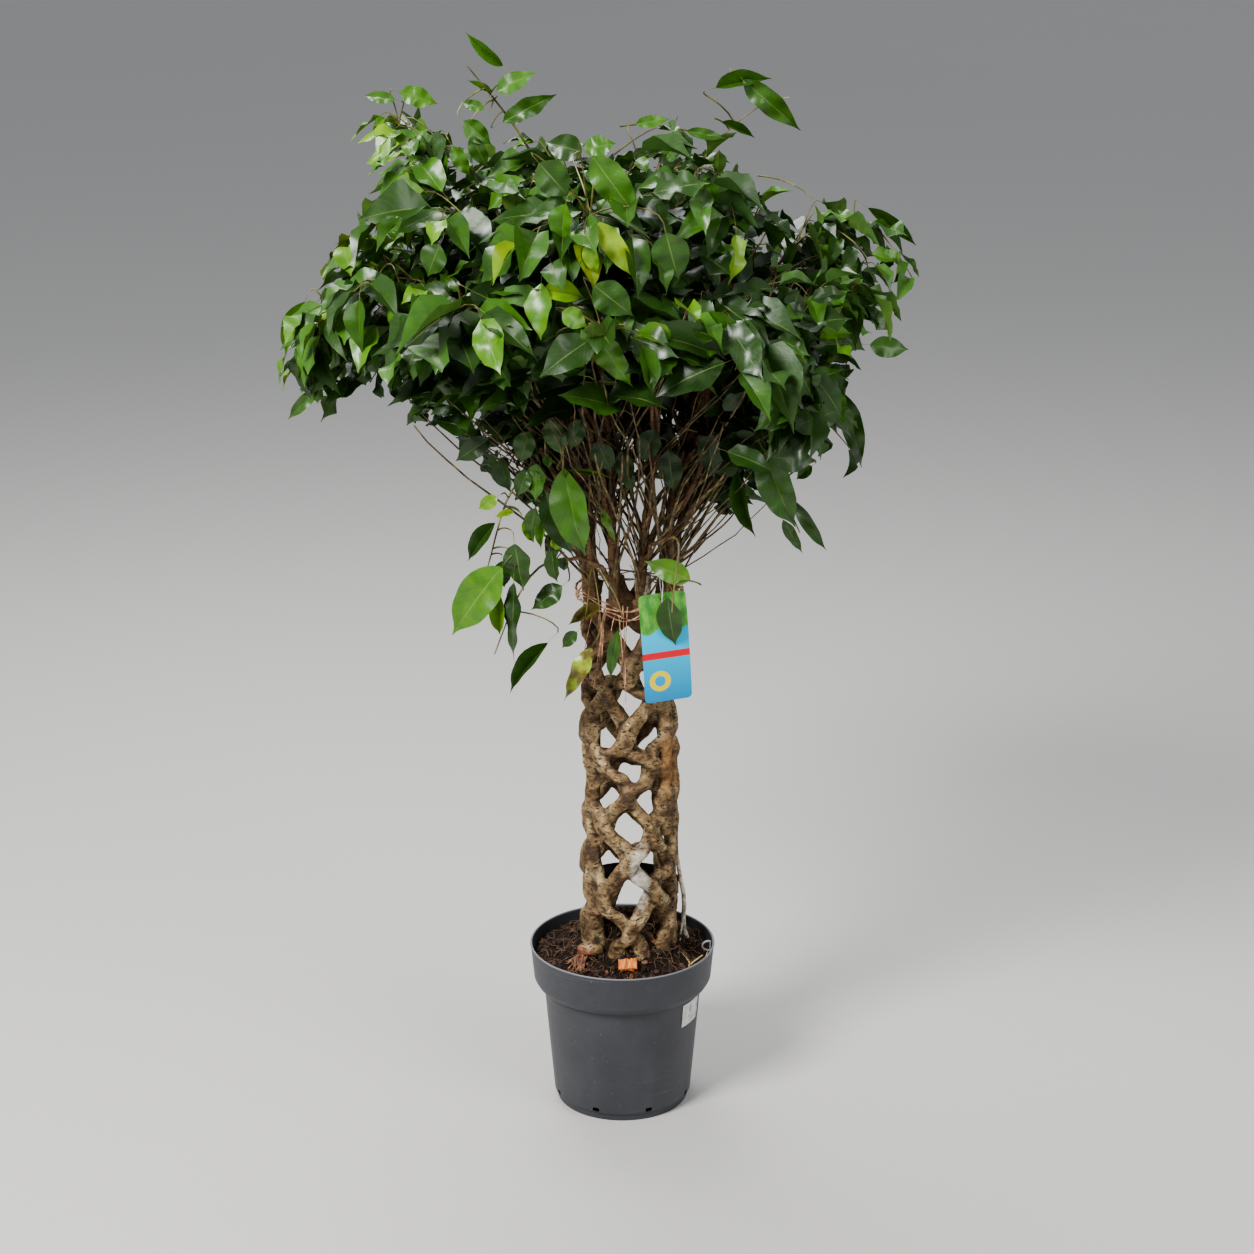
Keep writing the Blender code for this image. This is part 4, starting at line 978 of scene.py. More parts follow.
# %% Five leaves
LEAF_BENDS = (
    dict(arch=0.20, fold=0.12, wave=0.050, curl=0.05, twist=0.15),
    dict(arch=0.32, fold=0.48, wave=0.040, curl=0.10, twist=-0.20),
    dict(arch=0.12, fold=0.22, wave=0.070, curl=0.38, twist=0.10),
    dict(arch=0.05, fold=0.08, wave=0.095, curl=0.12, twist=-0.35),
    dict(arch=0.26, fold=0.34, wave=0.065, curl=-0.10, twist=0.65),
)


def make_leaf(name, flat, ripple, arch, fold, wave, curl, twist):
    """A closed leaf with its stalk, bent from a flat blade. The ripple is how often its margin waves."""
    bm = bmesh.new()
    bm.from_mesh(flat.data)
    for vert in bm.verts:
        x, y = vert.co.x, vert.co.y
        t = y - 0.2
        side = x * cos(twist * t)
        z = x * sin(twist * t) + fold * abs(x) - arch * t * t - curl * max(0.0, t - 0.55) ** 1.5
        z += wave * sin(ripple * t + 2.0 * (x > 0)) * min(1.0, abs(x) / 0.3)
        vert.co = (side * (1 - 0.35 * fold), y - 0.08 * t * t * arch, z)
    upper = list(bm.faces)
    lower = [f for f in bmesh.ops.duplicate(bm, geom=upper)["geom"] if isinstance(f, bmesh.types.BMFace)]
    bmesh.ops.reverse_faces(bm, faces=lower)
    for face in lower:
        face.material_index = 1
    inner = {v for f in lower for v in f.verts if not v.is_boundary}
    for vert in inner:
        vert.co.z -= 0.010
    bmesh.ops.remove_doubles(bm, verts=[v for v in bm.verts if v not in inner and v.is_boundary], dist=1e-5)
    rings = []
    for y, z, size in ((0.0, 0.0, 0.011), (0.11, 0.022, 0.008), (0.215, 0.002, 0.007)):
        rings.append([bm.verts.new((size * cos(a), y, z + size * sin(a))) for a in (0.5, 2.6, 4.7)])
    stalk = [bm.faces.new(rings[0]), bm.faces.new(rings[2][::-1])]
    for ring, after in zip(rings, rings[1:]):
        for k in range(3):
            stalk.append(bm.faces.new((ring[k], after[k], after[(k + 1) % 3], ring[(k + 1) % 3])))
    for face in stalk:
        face.material_index = 2
    bmesh.ops.recalc_face_normals(bm, faces=stalk)
    mesh = bpy.data.meshes.new(name)
    bm.to_mesh(mesh)
    bm.free()
    mesh.attributes.new("tone", "FLOAT", "POINT")
    return mesh


leaf_shapes = [make_leaf(f"leaf_{n}", blade, 13, **bend) for n, bend in enumerate(LEAF_BENDS)]
leaf_shapes += [make_leaf(f"fine_leaf_{n}", fine_blade, 16, **{**bend, "wave": 0.45 * bend["wave"]})
                for n, bend in enumerate(LEAF_BENDS)]
bpy.data.objects.remove(blade)
bpy.data.objects.remove(fine_blade)
print("leaf faces", [len(mesh.polygons) for mesh in leaf_shapes])

# %% [markdown]
# ## Leaf finish
#
# A fig leaf is leathery and waxed: dark green with a broad soft shine above, paler and dull below.
# Light also comes through it and turns yellow-green, so the Principled shader is mixed with a little
# Translucent. Each leaf carries a number, its tone, from old and dark to young and yellow-green; on
# the crown's leaves it also holds painted light at the upper left and painted shade inside and at the right.
# The thin twigs are smooth, olive brown and nearly as dull as bark.

# %% Leaf materials
def leaf_finish(name, stops, roughness, through, coat):
    """A leaf's skin. The tone attribute picks its green, and its UV map draws the midrib and veins."""
    material, tree, shader = new_material(name)
    place = add_node(tree, "TexCoord").outputs["Object"]
    tone = add_node(tree, "Attribute", attribute_name="tone").outputs["Fac"]
    mottle = add_node(tree, "TexNoise", {"Vector": place, "Scale": 65.0, "Detail": 3.0})
    mixed = add_node(tree, "MapRange", {"Value": mottle, "From Min": 0.3, "From Max": 0.7,
                                        "To Min": -0.07, "To Max": 0.07})
    shade = add_node(tree, "Math", {0: tone, 1: mixed}, operation="ADD")
    green = add_node(tree, "ValToRGB", {"Fac": shade}, stops)
    spot = add_node(tree, "SeparateXYZ", {"Vector": add_node(tree, "UVMap", uv_map="UVMap")})
    side = add_node(tree, "Math", {0: spot.outputs["X"], 1: 0.5}, operation="SUBTRACT")
    side = add_node(tree, "Math", {0: side}, operation="ABSOLUTE")
    rib = add_node(tree, "MapRange", {"Value": side, "From Min": 0.028, "From Max": 0.010})
    slant = add_node(tree, "Math", {0: side, 1: -0.55, 2: spot.outputs["Y"]}, operation="MULTIPLY_ADD")
    veins = add_node(tree, "Math", {0: slant, 1: 75.0}, operation="MULTIPLY")
    veins = add_node(tree, "Math", {0: veins}, operation="SINE")
    vein = add_node(tree, "MapRange", {"Value": veins, "From Min": 0.8, "From Max": 1.0, "To Max": 0.045})
    lines = add_node(tree, "Math", {0: rib, 1: 0.26, 2: vein}, operation="MULTIPLY_ADD")
    pale = add_node(tree, "Mix", {"Factor": lines, "A": green, "B": "#9fb568"}, data_type="RGBA")
    rough = add_node(tree, "MapRange",
                     {"Value": mottle, "To Min": roughness - 0.06, "To Max": roughness + 0.08})
    relief = add_node(tree, "Math", {0: lines, 1: -1.6, 2: mottle}, operation="MULTIPLY_ADD")
    bump = add_node(tree, "Bump", {"Height": relief, "Strength": 0.45, "Distance": 0.0014})
    glow = add_node(tree, "Mix", {"Factor": 0.55, "A": pale, "B": "#a8cc2e"}, data_type="RGBA")
    passing = add_node(tree, "BsdfTranslucent", {"Color": glow})
    both = add_node(tree, "MixShader", {0: through, 1: shader.outputs[0], 2: passing})
    fill(shader, {"Base Color": pale, "Roughness": rough, "Normal": bump, "IOR": 1.45, "Coat Weight": coat,
                  "Coat Roughness": 0.27})
    fill(tree.nodes["Material Output"], {"Surface": both})
    return material


leaf_upper = leaf_finish("waxed_leaf_upper",
                         [(0.0, "#1c3212"), (0.3, "#34551d"), (0.55, "#4b7a20"), (0.75, "#6f9a26"),
                          (0.93, "#9db136"), (1.0, "#6a592b")], 0.38, 0.20, 0.40)
leaf_under = leaf_finish("dull_leaf_underside",
                         [(0.0, "#34522a"), (0.35, "#4d7036"), (0.7, "#7f9a42"), (0.93, "#9fab50"),
                          (1.0, "#7c6a3e")], 0.55, 0.25, 0.0)
green_twig = grained_finish("green_twig_skin", 45.0,
                            [(0.35, "#3c3520"), (0.5, "#5b552d"), (0.65, "#7d7b3c")], 0.5, detail=3.0)
LEAF_SKINS = [leaf_upper, leaf_under, green_twig]
for mesh in leaf_shapes:
    for material in LEAF_SKINS:
        mesh.materials.append(material)
print("leaf finishes", [m.name for m in LEAF_SKINS])

# %% [markdown]
# ## The crown
#
# Each spray is one twig with side twigs, and leaves stand along both, left and right in turn. A leaf
# leaves its twig sideways and then hangs: its tip points out and down, its upper face looks out and
# up. A leaf that would sit on top of another, break the crown's outline or leave the CAD's box is
# skipped. Every spray becomes one mesh, and stands for one CAD spray.

# %% Leaf placing
CROWN_MIDDLE = Vector((-0.022, 0.0, 0.98))
MARGIN = 0.008
LEAF_GAP = 0.0125
taken = {}


def is_free(spot):
    """Whether no leaf has its middle too near this spot; if so, the spot is taken."""
    cell = tuple(int(v // LEAF_GAP) for v in spot)
    for dx in (-1, 0, 1):
        for dy in (-1, 0, 1):
            for dz in (-1, 0, 1):
                for other in taken.get((cell[0] + dx, cell[1] + dy, cell[2] + dz), ()):
                    if (other - spot).length < LEAF_GAP:
                        return False
    taken.setdefault(cell, []).append(spot)
    return True


def leaf_copy(shape, root, along, facing, length, wide, tone):
    """A leaf mesh with its stalk's end at root, pointing along a direction, its face turned to facing."""
    along = along.normalized()
    side = along.cross(facing).normalized()
    face = side.cross(along)
    mesh = leaf_shapes[shape].copy()
    frame_of = Matrix((side, along, face)).transposed().to_4x4()
    size = Matrix.Diagonal((length * wide, length, length, 1))
    mesh.transform(Matrix.Translation(root) @ frame_of @ size)
    mesh.attributes["tone"].data.foreach_set("value", [tone] * len(mesh.vertices))
    return mesh


def inside_box(mesh):
    """Whether a mesh keeps within the CAD box and a small margin."""
    low, high = cad_box
    return all(low[k] - MARGIN < v.co[k] < high[k] + MARGIN for v in mesh.vertices for k in range(3))


def tone_with_painted_light(spot):
    """Lighter at the outline and the upper left, darker inside and at the right: partly the leaves' own young
    and old greens, partly painted light at the upper left and painted shade inside the crown and at its
    right.
    """
    out = (spot - CROWN_MIDDLE).length / 0.36
    # Painted light at the upper left, where the lamp stands, and painted shade inside the crown and at its
    # right.
    painted_upper_left_light = max(0.0, -spot.x) * max(0.0, spot.z - 1.0)
    return 0.08 + 0.20 * out**2 - 0.16 * spot.x + 0.08 * (spot.z - 1.0) / 0.3 + 1.4 * painted_upper_left_light


# The crown's upper and lower outline as the photograph shows it: x and height.
CROWN_TOP = ((-0.42, 1.02), (-0.395, 1.055), (-0.363, 1.122), (-0.345, 1.147), (-0.318, 1.170),
             (-0.312, 1.325), (-0.20, 1.325), (-0.15, 1.290), (-0.075, 1.262), (0.03, 1.255),
             (0.06, 1.280), (0.11, 1.270), (0.145, 1.205), (0.27, 1.180), (0.37, 1.125))
CROWN_FOOT = ((-0.42, 0.930), (-0.40, 0.920), (-0.315, 0.935), (-0.225, 0.892), (-0.18, 0.852),
              (-0.155, 0.818), (-0.11, 0.775), (-0.05, 0.765), (0.05, 0.775), (0.13, 0.790),
              (0.20, 0.800), (0.25, 0.860), (0.285, 0.840), (0.292, 0.990), (0.345, 1.000),
              (0.352, 1.080), (0.37, 1.100))


def outside_outline(tip, middle):
    """Whether a leaf would break the crown's outline: a wedge, hollow below at the front, dipped on top."""
    fray = chance.uniform(-0.014, 0.014)
    top = middle.z + 0.32 * max(0.0, middle.y)
    low = tip.z - 0.32 * max(0.0, -tip.y)
    hollow = 0.19 * exp(-((tip.x + 0.03) / 0.135) ** 2) + 0.11 * exp(-((tip.x - 0.115) / 0.045) ** 2)
    low -= hollow * clamp((0.02 - tip.y) / 0.14)
    notch = middle.x > 0.262 and 0.925 < middle.z < 0.985
    above = top > between(CROWN_TOP, middle.x) - 0.008 + fray
    below = low < between(CROWN_FOOT, tip.x) + fray
    return notch or above or below


print("crown middle", tuple(CROWN_MIDDLE))

# %% Leaves along a twig
def twig_curve(start, direction, end, sag):
    """The control points of a twig that sets off in a direction and sags to its end."""
    return (start, start + direction * (end - start).length * 0.3,
            start.lerp(end, 0.7) + Vector((0, 0, 1.5 * sag)), end)


def grow_leaves(curve, spacing, first_share, meshes, sizes=(0.032, 0.072), sparse=0.40):
    """Leaves along a twig's curve, left and right in turn. Returns how far along the last one stands."""
    reached = 0.0
    span = sum((bezier(*curve, (k + 1) / 8) - bezier(*curve, k / 8)).length for k in range(8))
    count = max(2, int(span * (1 - first_share) / spacing))
    for k in range(count + 1):
        t = first_share + (1 - first_share) * k / count
        root = bezier(*curve, min(t, 1.0))
        tangent = (bezier(*curve, min(t + 0.02, 1.02)) - bezier(*curve, t - 0.02)).normalized()
        outward = (root - CROWN_MIDDLE).normalized()
        across = tangent.cross(UP)
        across = across.normalized() if across.length > 0.2 else tangent.cross(outward).normalized()
        way = across * (1 if k % 2 else -1) * chance.uniform(0.5, 1.3)
        if k == count:
            way = across * chance.uniform(-0.25, 0.25)
        down = chance.uniform(-0.1, 1.1)
        along = tangent * chance.uniform(0.35, 0.8) + way + outward * 0.25 - UP * down
        jitter = Vector([chance.uniform(-0.55, 0.55) for _ in range(3)])
        facing = UP * 0.75 + outward * 0.7 + jitter
        front = clamp((-root.y - 0.05) / 0.2)
        length = chance.triangular(*sizes) * (0.75 if k == count else 1.0) * (1 + 0.45 * front)
        middle = root + along.normalized() * length * 0.6
        leaf_tip = root + along.normalized() * length * 1.2
        inner_foot = leaf_tip.z < CROWN_MIDDLE.z and hypot(leaf_tip.x - CROWN_MIDDLE.x, leaf_tip.y) < 0.24
        thinned = inner_foot and chance.random() < sparse
        if thinned or outside_outline(leaf_tip, middle) or not is_free(middle):
            continue
        tone = tone_with_painted_light(middle) + chance.gauss(0, 0.13) + (0.18 if k == count else 0)
        shape = chance.randrange(len(LEAF_BENDS))
        wide = chance.uniform(0.46, 0.62)
        mesh = leaf_copy(shape, root, along, facing, length, wide, max(0, min(0.93, tone)))
        if inside_box(mesh):
            meshes.append(mesh)
            reached = t
        else:
            bpy.data.meshes.remove(mesh)
    return min(1.0, reached + 0.03)


def green_tubes(name, paths):
    """Thin tubes in green twig skin, with the leaves' finishes and their tone attribute."""
    piece = tubes(name, paths, sides=4)
    piece.data.attributes.new("tone", "FLOAT", "POINT")
    for material in LEAF_SKINS:
        piece.data.materials.append(material)
    for polygon in piece.data.polygons:
        polygon.material_index = LEAF_SKINS.index(green_twig)
    return piece


print("ready to grow leaves")

# %% Sprays
chance = Random(5)
leaf_count = 0
twig_meshes = {}
main_twigs = [twig_curve(tip, (bough[3] - bough[2]).normalized(), end, sag)
              for (tip, end, sag, _, _), bough in zip(sprays, bough_curves)]
for number, (main, bough) in enumerate(zip(main_twigs, bough_curves), 1):
    meshes = []
    twig_paths = []
    reached = 1.0
    if number in (31, 32):
        grow_leaves(main, 0.026, 0.10, meshes, (0.038, 0.052))
    elif number < 36:
        reached = grow_leaves(main, 0.0140, 0.08, meshes)
        grow_leaves(bough, 0.020, 0.50, meshes)
        for k in range(8):
            t = 0.03 + 0.12 * k
            root = bezier(*main, t)
            tangent = (bezier(*main, t + 0.02) - bezier(*main, t - 0.02)).normalized()
            across = tangent.cross(UP).normalized() * (1 if k % 2 else -1)
            rise = chance.uniform(-0.75, 0.95)
            way = (tangent * 0.7 + across * chance.uniform(0.6, 1.0) + UP * rise).normalized()
            long = chance.uniform(0.050, 0.110)
            side_end = root + way * long - UP * 0.25 * long
            side = twig_curve(root, way, side_end, 0.008)
            side_reached = grow_leaves(side, 0.0135, 0.15, meshes)
            if side_reached > 0.1:
                twig_paths.append([(bezier(*side, side_reached * j / 5), 0.0012 - 0.0006 * j / 5)
                                   for j in range(6)])
    twig_paths.append([(bezier(*main, reached * k / 8), 0.0019 - 0.0011 * k / 8) for k in range(9)])
    leaf_count += len(meshes)
    twig_meshes[number] = (green_tubes(f"leaf_spray_{number:02d}_twigs", twig_paths), meshes)
print("leaves so far", leaf_count)

# %% [markdown]
# Some leaves stand free of the crown or lie large on its front, and the eye goes to them, so they are
# placed one by one. Each is read off the photograph: the pixel where its stalk joins the blade, the
# pixel of its tip, its width and its tone. How deep it sits and how it bends are judged. The
# camera turns a pixel into a place. Each leaf gets a stalk back to the nearest point of a twig.

# %% Leaves placed one by one
PHOTO_PIXELS = 1254
FOCAL_PIXELS = PHOTO_PIXELS * camera_data.lens / camera_data.sensor_width


def seen_at(column, row, y):
    """The place at a depth y that the photograph shows at a pixel."""
    tilt = pi / 2 - camera.rotation_euler.x
    slope = (PHOTO_PIXELS / 2 - row) / FOCAL_PIXELS
    far = y - camera.location.y
    drop = far * (sin(tilt) - cos(tilt) * slope) / (cos(tilt) + sin(tilt) * slope)
    depth = far * cos(tilt) + drop * sin(tilt)
    x = camera.location.x + (column - PHOTO_PIXELS / 2) * depth / FOCAL_PIXELS
    return Vector((x, y, camera.location.z - drop))


# The joint's column and row, the tip's column and row, then depth, width, tone and bend.
HAND_LEAVES = [
    (502, 567, 444, 637, -0.125, 0.052, 0.58, 0), (515, 544, 522, 593, -0.130, 0.041, 0.20, 3),
    (495, 523, 461, 563, -0.115, 0.026, 0.25, 1), (514, 583, 511, 665, -0.130, 0.027, 0.10, 3),
    (548, 643, 499, 695, -0.125, 0.027, 0.28, 1), (562, 586, 530, 610, -0.110, 0.028, 0.24, 3),
    (592, 648, 562, 702, -0.090, 0.026, 0.97, 3), (499, 592, 497, 642, -0.115, 0.024, 0.72, 1),
    (502, 561, 503, 590, -0.110, 0.022, 0.22, 0), (602, 607, 564, 623, -0.075, 0.021, 1.00, 1),
    (577, 632, 560, 648, -0.080, 0.017, 0.30, 0), (619, 630, 606, 683, -0.095, 0.015, 0.35, 0),
    (564, 468, 581, 564, -0.165, 0.047, 0.50, 2), (545, 491, 572, 562, -0.140, 0.035, 0.12, 0),
    (537, 464, 534, 503, -0.135, 0.028, 0.50, 3), (548, 454, 547, 470, -0.130, 0.014, 0.50, 1),
    (501, 460, 507, 496, -0.120, 0.031, 0.12, 1), (497, 497, 477, 510, -0.115, 0.018, 0.78, 0),
    (514, 512, 493, 516, -0.120, 0.011, 0.82, 1), (489, 439, 453, 462, -0.120, 0.026, 0.12, 0),
    (552, 537, 562, 552, -0.120, 0.014, 0.80, 2), (552, 550, 554, 585, -0.125, 0.020, 0.20, 2),
    (564, 557, 563, 573, -0.115, 0.016, 0.16, 1), (568, 471, 614, 476, -0.150, 0.006, 0.78, 1),
    (598, 441, 610, 475, -0.150, 0.029, 0.15, 0), (602, 508, 616, 546, -0.110, 0.014, 0.62, 3),
    (548, 420, 564, 458, -0.165, 0.027, 0.35, 3), (581, 420, 568, 451, -0.165, 0.024, 0.30, 0),
    (762, 448, 795, 535, -0.150, 0.044, 0.32, 2), (738, 470, 750, 548, -0.130, 0.028, 0.30, 1),
    (793, 500, 828, 556, -0.100, 0.016, 0.25, 0), (783, 520, 803, 555, -0.100, 0.016, 0.25, 3),
    (812, 466, 795, 480, -0.100, 0.018, 0.35, 1), (690, 580, 645, 560, -0.090, 0.030, 0.62, 0),
    (668, 598, 672, 650, -0.105, 0.032, 0.18, 0), (820, 385, 835, 440, -0.060, 0.034, 0.28, 1),
    (845, 395, 862, 470, -0.030, 0.028, 0.34, 3), (503, 66, 463, 33, -0.040, 0.017, 0.42, 1),
    (497, 92, 535, 69, -0.050, 0.026, 0.48, 0), (492, 93, 467, 78, -0.040, 0.010, 0.40, 1),
    (503, 122, 556, 93, -0.060, 0.022, 0.34, 3), (484, 109, 460, 101, -0.050, 0.014, 0.45, 0),
    (464, 121, 492, 146, -0.060, 0.026, 0.42, 2), (440, 150, 385, 130, -0.030, 0.030, 0.42, 3),
    (716, 88, 772, 72, -0.060, 0.022, 0.42, 1), (743, 80, 802, 131, -0.060, 0.027, 0.36, 3),
    (687, 131, 728, 138, -0.060, 0.014, 0.38, 0), (722, 122, 758, 136, -0.060, 0.012, 0.35, 1),
    (636, 124, 671, 118, -0.050, 0.016, 0.52, 0), (395, 100, 362, 94, -0.010, 0.015, 0.45, 0),
    (400, 92, 438, 103, -0.010, 0.024, 0.55, 3), (385, 118, 372, 126, -0.010, 0.012, 0.60, 1),
    (868, 208, 923, 247, 0.000, 0.018, 0.36, 1), (850, 222, 838, 210, 0.000, 0.012, 0.45, 0),
    (870, 345, 911, 350, -0.020, 0.027, 0.45, 0), (820, 320, 868, 352, -0.060, 0.038, 0.25, 0),
    (305, 302, 277, 360, -0.060, 0.028, 0.68, 1), (330, 340, 300, 395, -0.070, 0.030, 0.50, 3),
    (318, 390, 284, 420, -0.060, 0.016, 0.40, 0), (592, 156, 639, 220, -0.260, 0.040, 0.46, 3),
    (539, 163, 571, 199, -0.250, 0.040, 0.30, 0), (666, 233, 678, 283, -0.280, 0.044, 0.28, 0),
    (566, 204, 557, 244, -0.270, 0.028, 0.55, 4), (598, 222, 637, 281, -0.280, 0.026, 0.84, 3),
    (587, 244, 596, 276, -0.275, 0.018, 0.78, 0), (471, 290, 524, 317, -0.245, 0.046, 0.08, 0),
    (544, 290, 587, 295, -0.280, 0.030, 0.76, 1), (594, 285, 634, 317, -0.285, 0.040, 0.32, 3),
    (562, 312, 589, 326, -0.285, 0.026, 0.62, 0), (596, 335, 632, 389, -0.285, 0.036, 0.56, 3),
    (634, 335, 675, 380, -0.285, 0.036, 0.60, 3), (557, 344, 562, 385, -0.280, 0.040, 0.34, 0),
    (490, 326, 499, 376, -0.255, 0.030, 0.52, 1), (517, 349, 530, 385, -0.260, 0.030, 0.42, 0),
    (440, 245, 424, 277, -0.170, 0.036, 0.34, 0), (399, 281, 420, 340, -0.160, 0.040, 0.20, 1),
    (700, 180, 712, 212, -0.190, 0.036, 0.32, 0), (794, 318, 822, 348, -0.120, 0.036, 0.28, 1),
    (530, 432, 518, 464, -0.140, 0.030, 0.35, 2), (622, 452, 632, 497, -0.120, 0.028, 0.20, 3),
    (655, 430, 640, 464, -0.130, 0.030, 0.12, 0), (708, 432, 713, 482, -0.110, 0.030, 0.15, 0),
    (668, 450, 674, 494, -0.120, 0.030, 0.10, 3), (528, 470, 516, 498, -0.130, 0.022, 0.32, 2),
    (536, 508, 527, 541, -0.120, 0.021, 0.28, 0), (546, 518, 536, 552, -0.120, 0.018, 0.60, 1),
    (556, 528, 548, 568, -0.110, 0.022, 0.16, 3), (524, 520, 534, 545, -0.110, 0.014, 0.70, 2),
    (582, 152, 545, 141, -0.140, 0.032, 0.20, 0), (584, 150, 616, 142, -0.150, 0.026, 0.50, 3),
    (472, 136, 486, 170, -0.060, 0.022, 0.30, 0), (452, 146, 470, 178, -0.060, 0.020, 0.48, 2),
    (735, 412, 752, 462, -0.100, 0.030, 0.16, 2),
]
routes = []
for number, (main, bough) in enumerate(zip(main_twigs, bough_curves), 1):
    routes += [(bezier(*main, k / 24), number) for k in range(25)]
    routes += [(bezier(*bough, 0.5 + k / 24), number) for k in range(12)]
stalks = {}
for *pixels, depth, width, tone, bend in HAND_LEAVES:
    base = seen_at(*pixels[:2], depth)
    reach = seen_at(*pixels[2:], depth) - base
    facing = Vector((-0.25, -1.0, 0.35)) + Vector([chance.uniform(-0.2, 0.2) for _ in range(3)])
    root = base - reach * 0.2
    holder, number = min(routes, key=lambda place: (place[0] - root).length)
    long = reach.length
    leaf = leaf_copy(len(LEAF_BENDS) + bend, root, reach, facing, long, width / long, tone)
    twig_meshes[number][1].append(leaf)
    lift = (root - holder).length
    bow = holder.lerp(root, 0.4) + UP * 0.25 * lift
    stalk = (holder, bow, root - reach.normalized() * 0.2 * lift, root)
    path = [(bezier(*stalk, k / 6), 0.0011 - 0.0003 * k / 6) for k in range(7)]
    stalks.setdefault(number, []).append(path)
    leaf_count += 1
for number, paths in stalks.items():
    twigs, meshes = twig_meshes[number]
    twig_meshes[number] = (join(twigs.name, [twigs, green_tubes("stalks", paths)]), meshes)
print("leaves", leaf_count)

# %% Join each spray
for number, (twigs, meshes) in twig_meshes.items():
    spray = join(f"foliage_{number:02d}", [twigs] + [add_object("leaf", mesh) for mesh in meshes])
    seat(spray, [f"leaf_spray_{number:02d}"], angle=50)

# %% [markdown]
# The thin shoots inside the crown bear small leaves too. They close the view through it, and those at
# the left and right fill the wedge between the crown and the trunk. At the front the stems stay bare.

# %% Leaves on the inner shoots
inner = []
upper = []
for curve in shoot_curves:
    if abs(curve[3].x - TRUNK_X) > 0.07:
        grow_leaves(curve, 0.024, 0.30, inner, (0.026, 0.060), sparse=0.12)
    else:
        grow_leaves(curve, 0.030, 0.50, inner, (0.034, 0.064), sparse=0.55)
for curve in upright_curves:
    grow_leaves(curve, 0.020, 0.45, upper, (0.034, 0.074), sparse=0.20)
for name, meshes in (("inner_leaves", inner), ("upright_leaves", upper)):
    seat(join(name, [add_object("leaf", mesh) for mesh in meshes]), angle=50)
leaf_count += len(inner) + len(upper)
print("inner leaves", len(inner) + len(upper), "all leaves", leaf_count)

# %% [markdown]
# ## Ties, band, wire and root
#
# Where the braid ends, growers tie the limbs with raffia. Old ties dry, fray and sag. Several thin
# strands go round the limbs on slightly different ways, and their loose ends hang down.

# %% Raffia
chance = Random(31)
raffia_paths = []
for strand in range(5):
    path = []
    for k in range(49):
        azimuth = 7.5 * k
        wave = 0.010 * uneven(strand + 60, 0.03 * azimuth)
        dip = -0.012 * max(0.0, cos(radians(azimuth - 262))) ** 6
        spot = polar(0.0665 + 0.0016 * sin(strand + 0.2 * k), azimuth, 0.692 + 0.003 * strand + wave + dip)
        path.append((spot + AXIS, 0.0008 + 0.0003 * sin(1.7 * k + strand)))
    raffia_paths.append(path)
for strand in range(16):
    azimuth = chance.uniform(225, 320)
    start = polar(0.066, azimuth, 0.690 + chance.uniform(-0.012, 0.010)) + AXIS
    out = polar(1, azimuth + chance.uniform(-50, 50), 0)
    long = chance.uniform(0.025, 0.070)
    rise = chance.uniform(-1.2, 0.5)
    path = []
    for t in (0.0, 0.25, 0.5, 0.75, 1.0):
        spot = start + out * long * 0.35 * t + UP * long * (rise * t - 0.5 * t * t)
        path.append((spot, 0.0008 * (1 - 0.5 * t)))
    raffia_paths.append(path)
raffia = tubes("raffia_strands", raffia_paths, sides=4)
raffia_fibre = grained_finish("dried_raffia", 130.0,
                              [(0.35, "#7c4a38"), (0.5, "#b98468"), (0.66, "#d9bd95")], 0.6)
seat(raffia, ["raffia_tie"], [raffia_fibre])

# %% [markdown]
# One limb was sawn off when the plant was young. Its stump is grey and frayed, and pale fibres stand
# up from the cut. The stump is a cylinder whose top is inset and sunk, pushed out of round by noise.

# %% Cut stump
STUMP = (0.026, -0.046, 0.712)
bpy.ops.object.select_all(action="DESELECT")
bpy.ops.mesh.primitive_cylinder_add(vertices=20, radius=0.010, depth=0.040, location=STUMP)
stump = bpy.context.object
bpy.ops.object.mode_set(mode="EDIT")
pick("FACE", lambda face: face.normal.z > 0.9)
bpy.ops.mesh.inset(thickness=0.0030, depth=-0.0015)
bpy.ops.mesh.inset(thickness=0.0030, depth=0.0020)
pick("FACE", lambda face: abs(face.normal.z) < 0.3)
bpy.ops.mesh.subdivide(number_cuts=3)
bpy.ops.object.mode_set(mode="OBJECT")
bpy.ops.object.transform_apply(location=True)
for vert in stump.data.vertices:
    vert.co += Vector((1, 1, 1)) * 0.0030 * noise.noise(vert.co * 160)
stump.name = "cut_stump"
chance = Random(41)
hair_paths = []
for _ in range(70):
    foot = Vector((STUMP[0] + chance.uniform(-0.010, 0.010), STUMP[1] + chance.uniform(-0.009, 0.009), 0.728))
    lean = Vector((chance.uniform(-0.7, 0.4), chance.uniform(-0.7, 0.4), chance.uniform(0.3, 1.3)))
    long = chance.uniform(0.012, 0.030)
    path = []
    for t in (0, 0.35, 0.7, 1.0):
        spot = foot + lean * long * t + Vector((0.2, -0.1, -0.6)) * long * t * t
        path.append((spot, 0.00045 * (1.2 - t)))
    hair_paths.append(path)
hairs = tubes("stump_fibres", hair_paths, sides=4)
cut_wood = grained_finish("frayed_bast_fibre", 220.0,
                          [(0.35, "#6d5d49"), (0.5, "#a89a82"), (0.66, "#d5ccb8")], 0.8)
seat(stump, materials=[cut_wood])
seat(hairs, materials=[cut_wood])

# %% [markdown]
# A thin root has come down outside the lattice at the right, and at the front-left foot the skin of
# the roots peels off in red-brown ribbons. Both are tapered tubes with a wobble. The root is bleached
# and furrowed, and the ribbons are a little smoother.

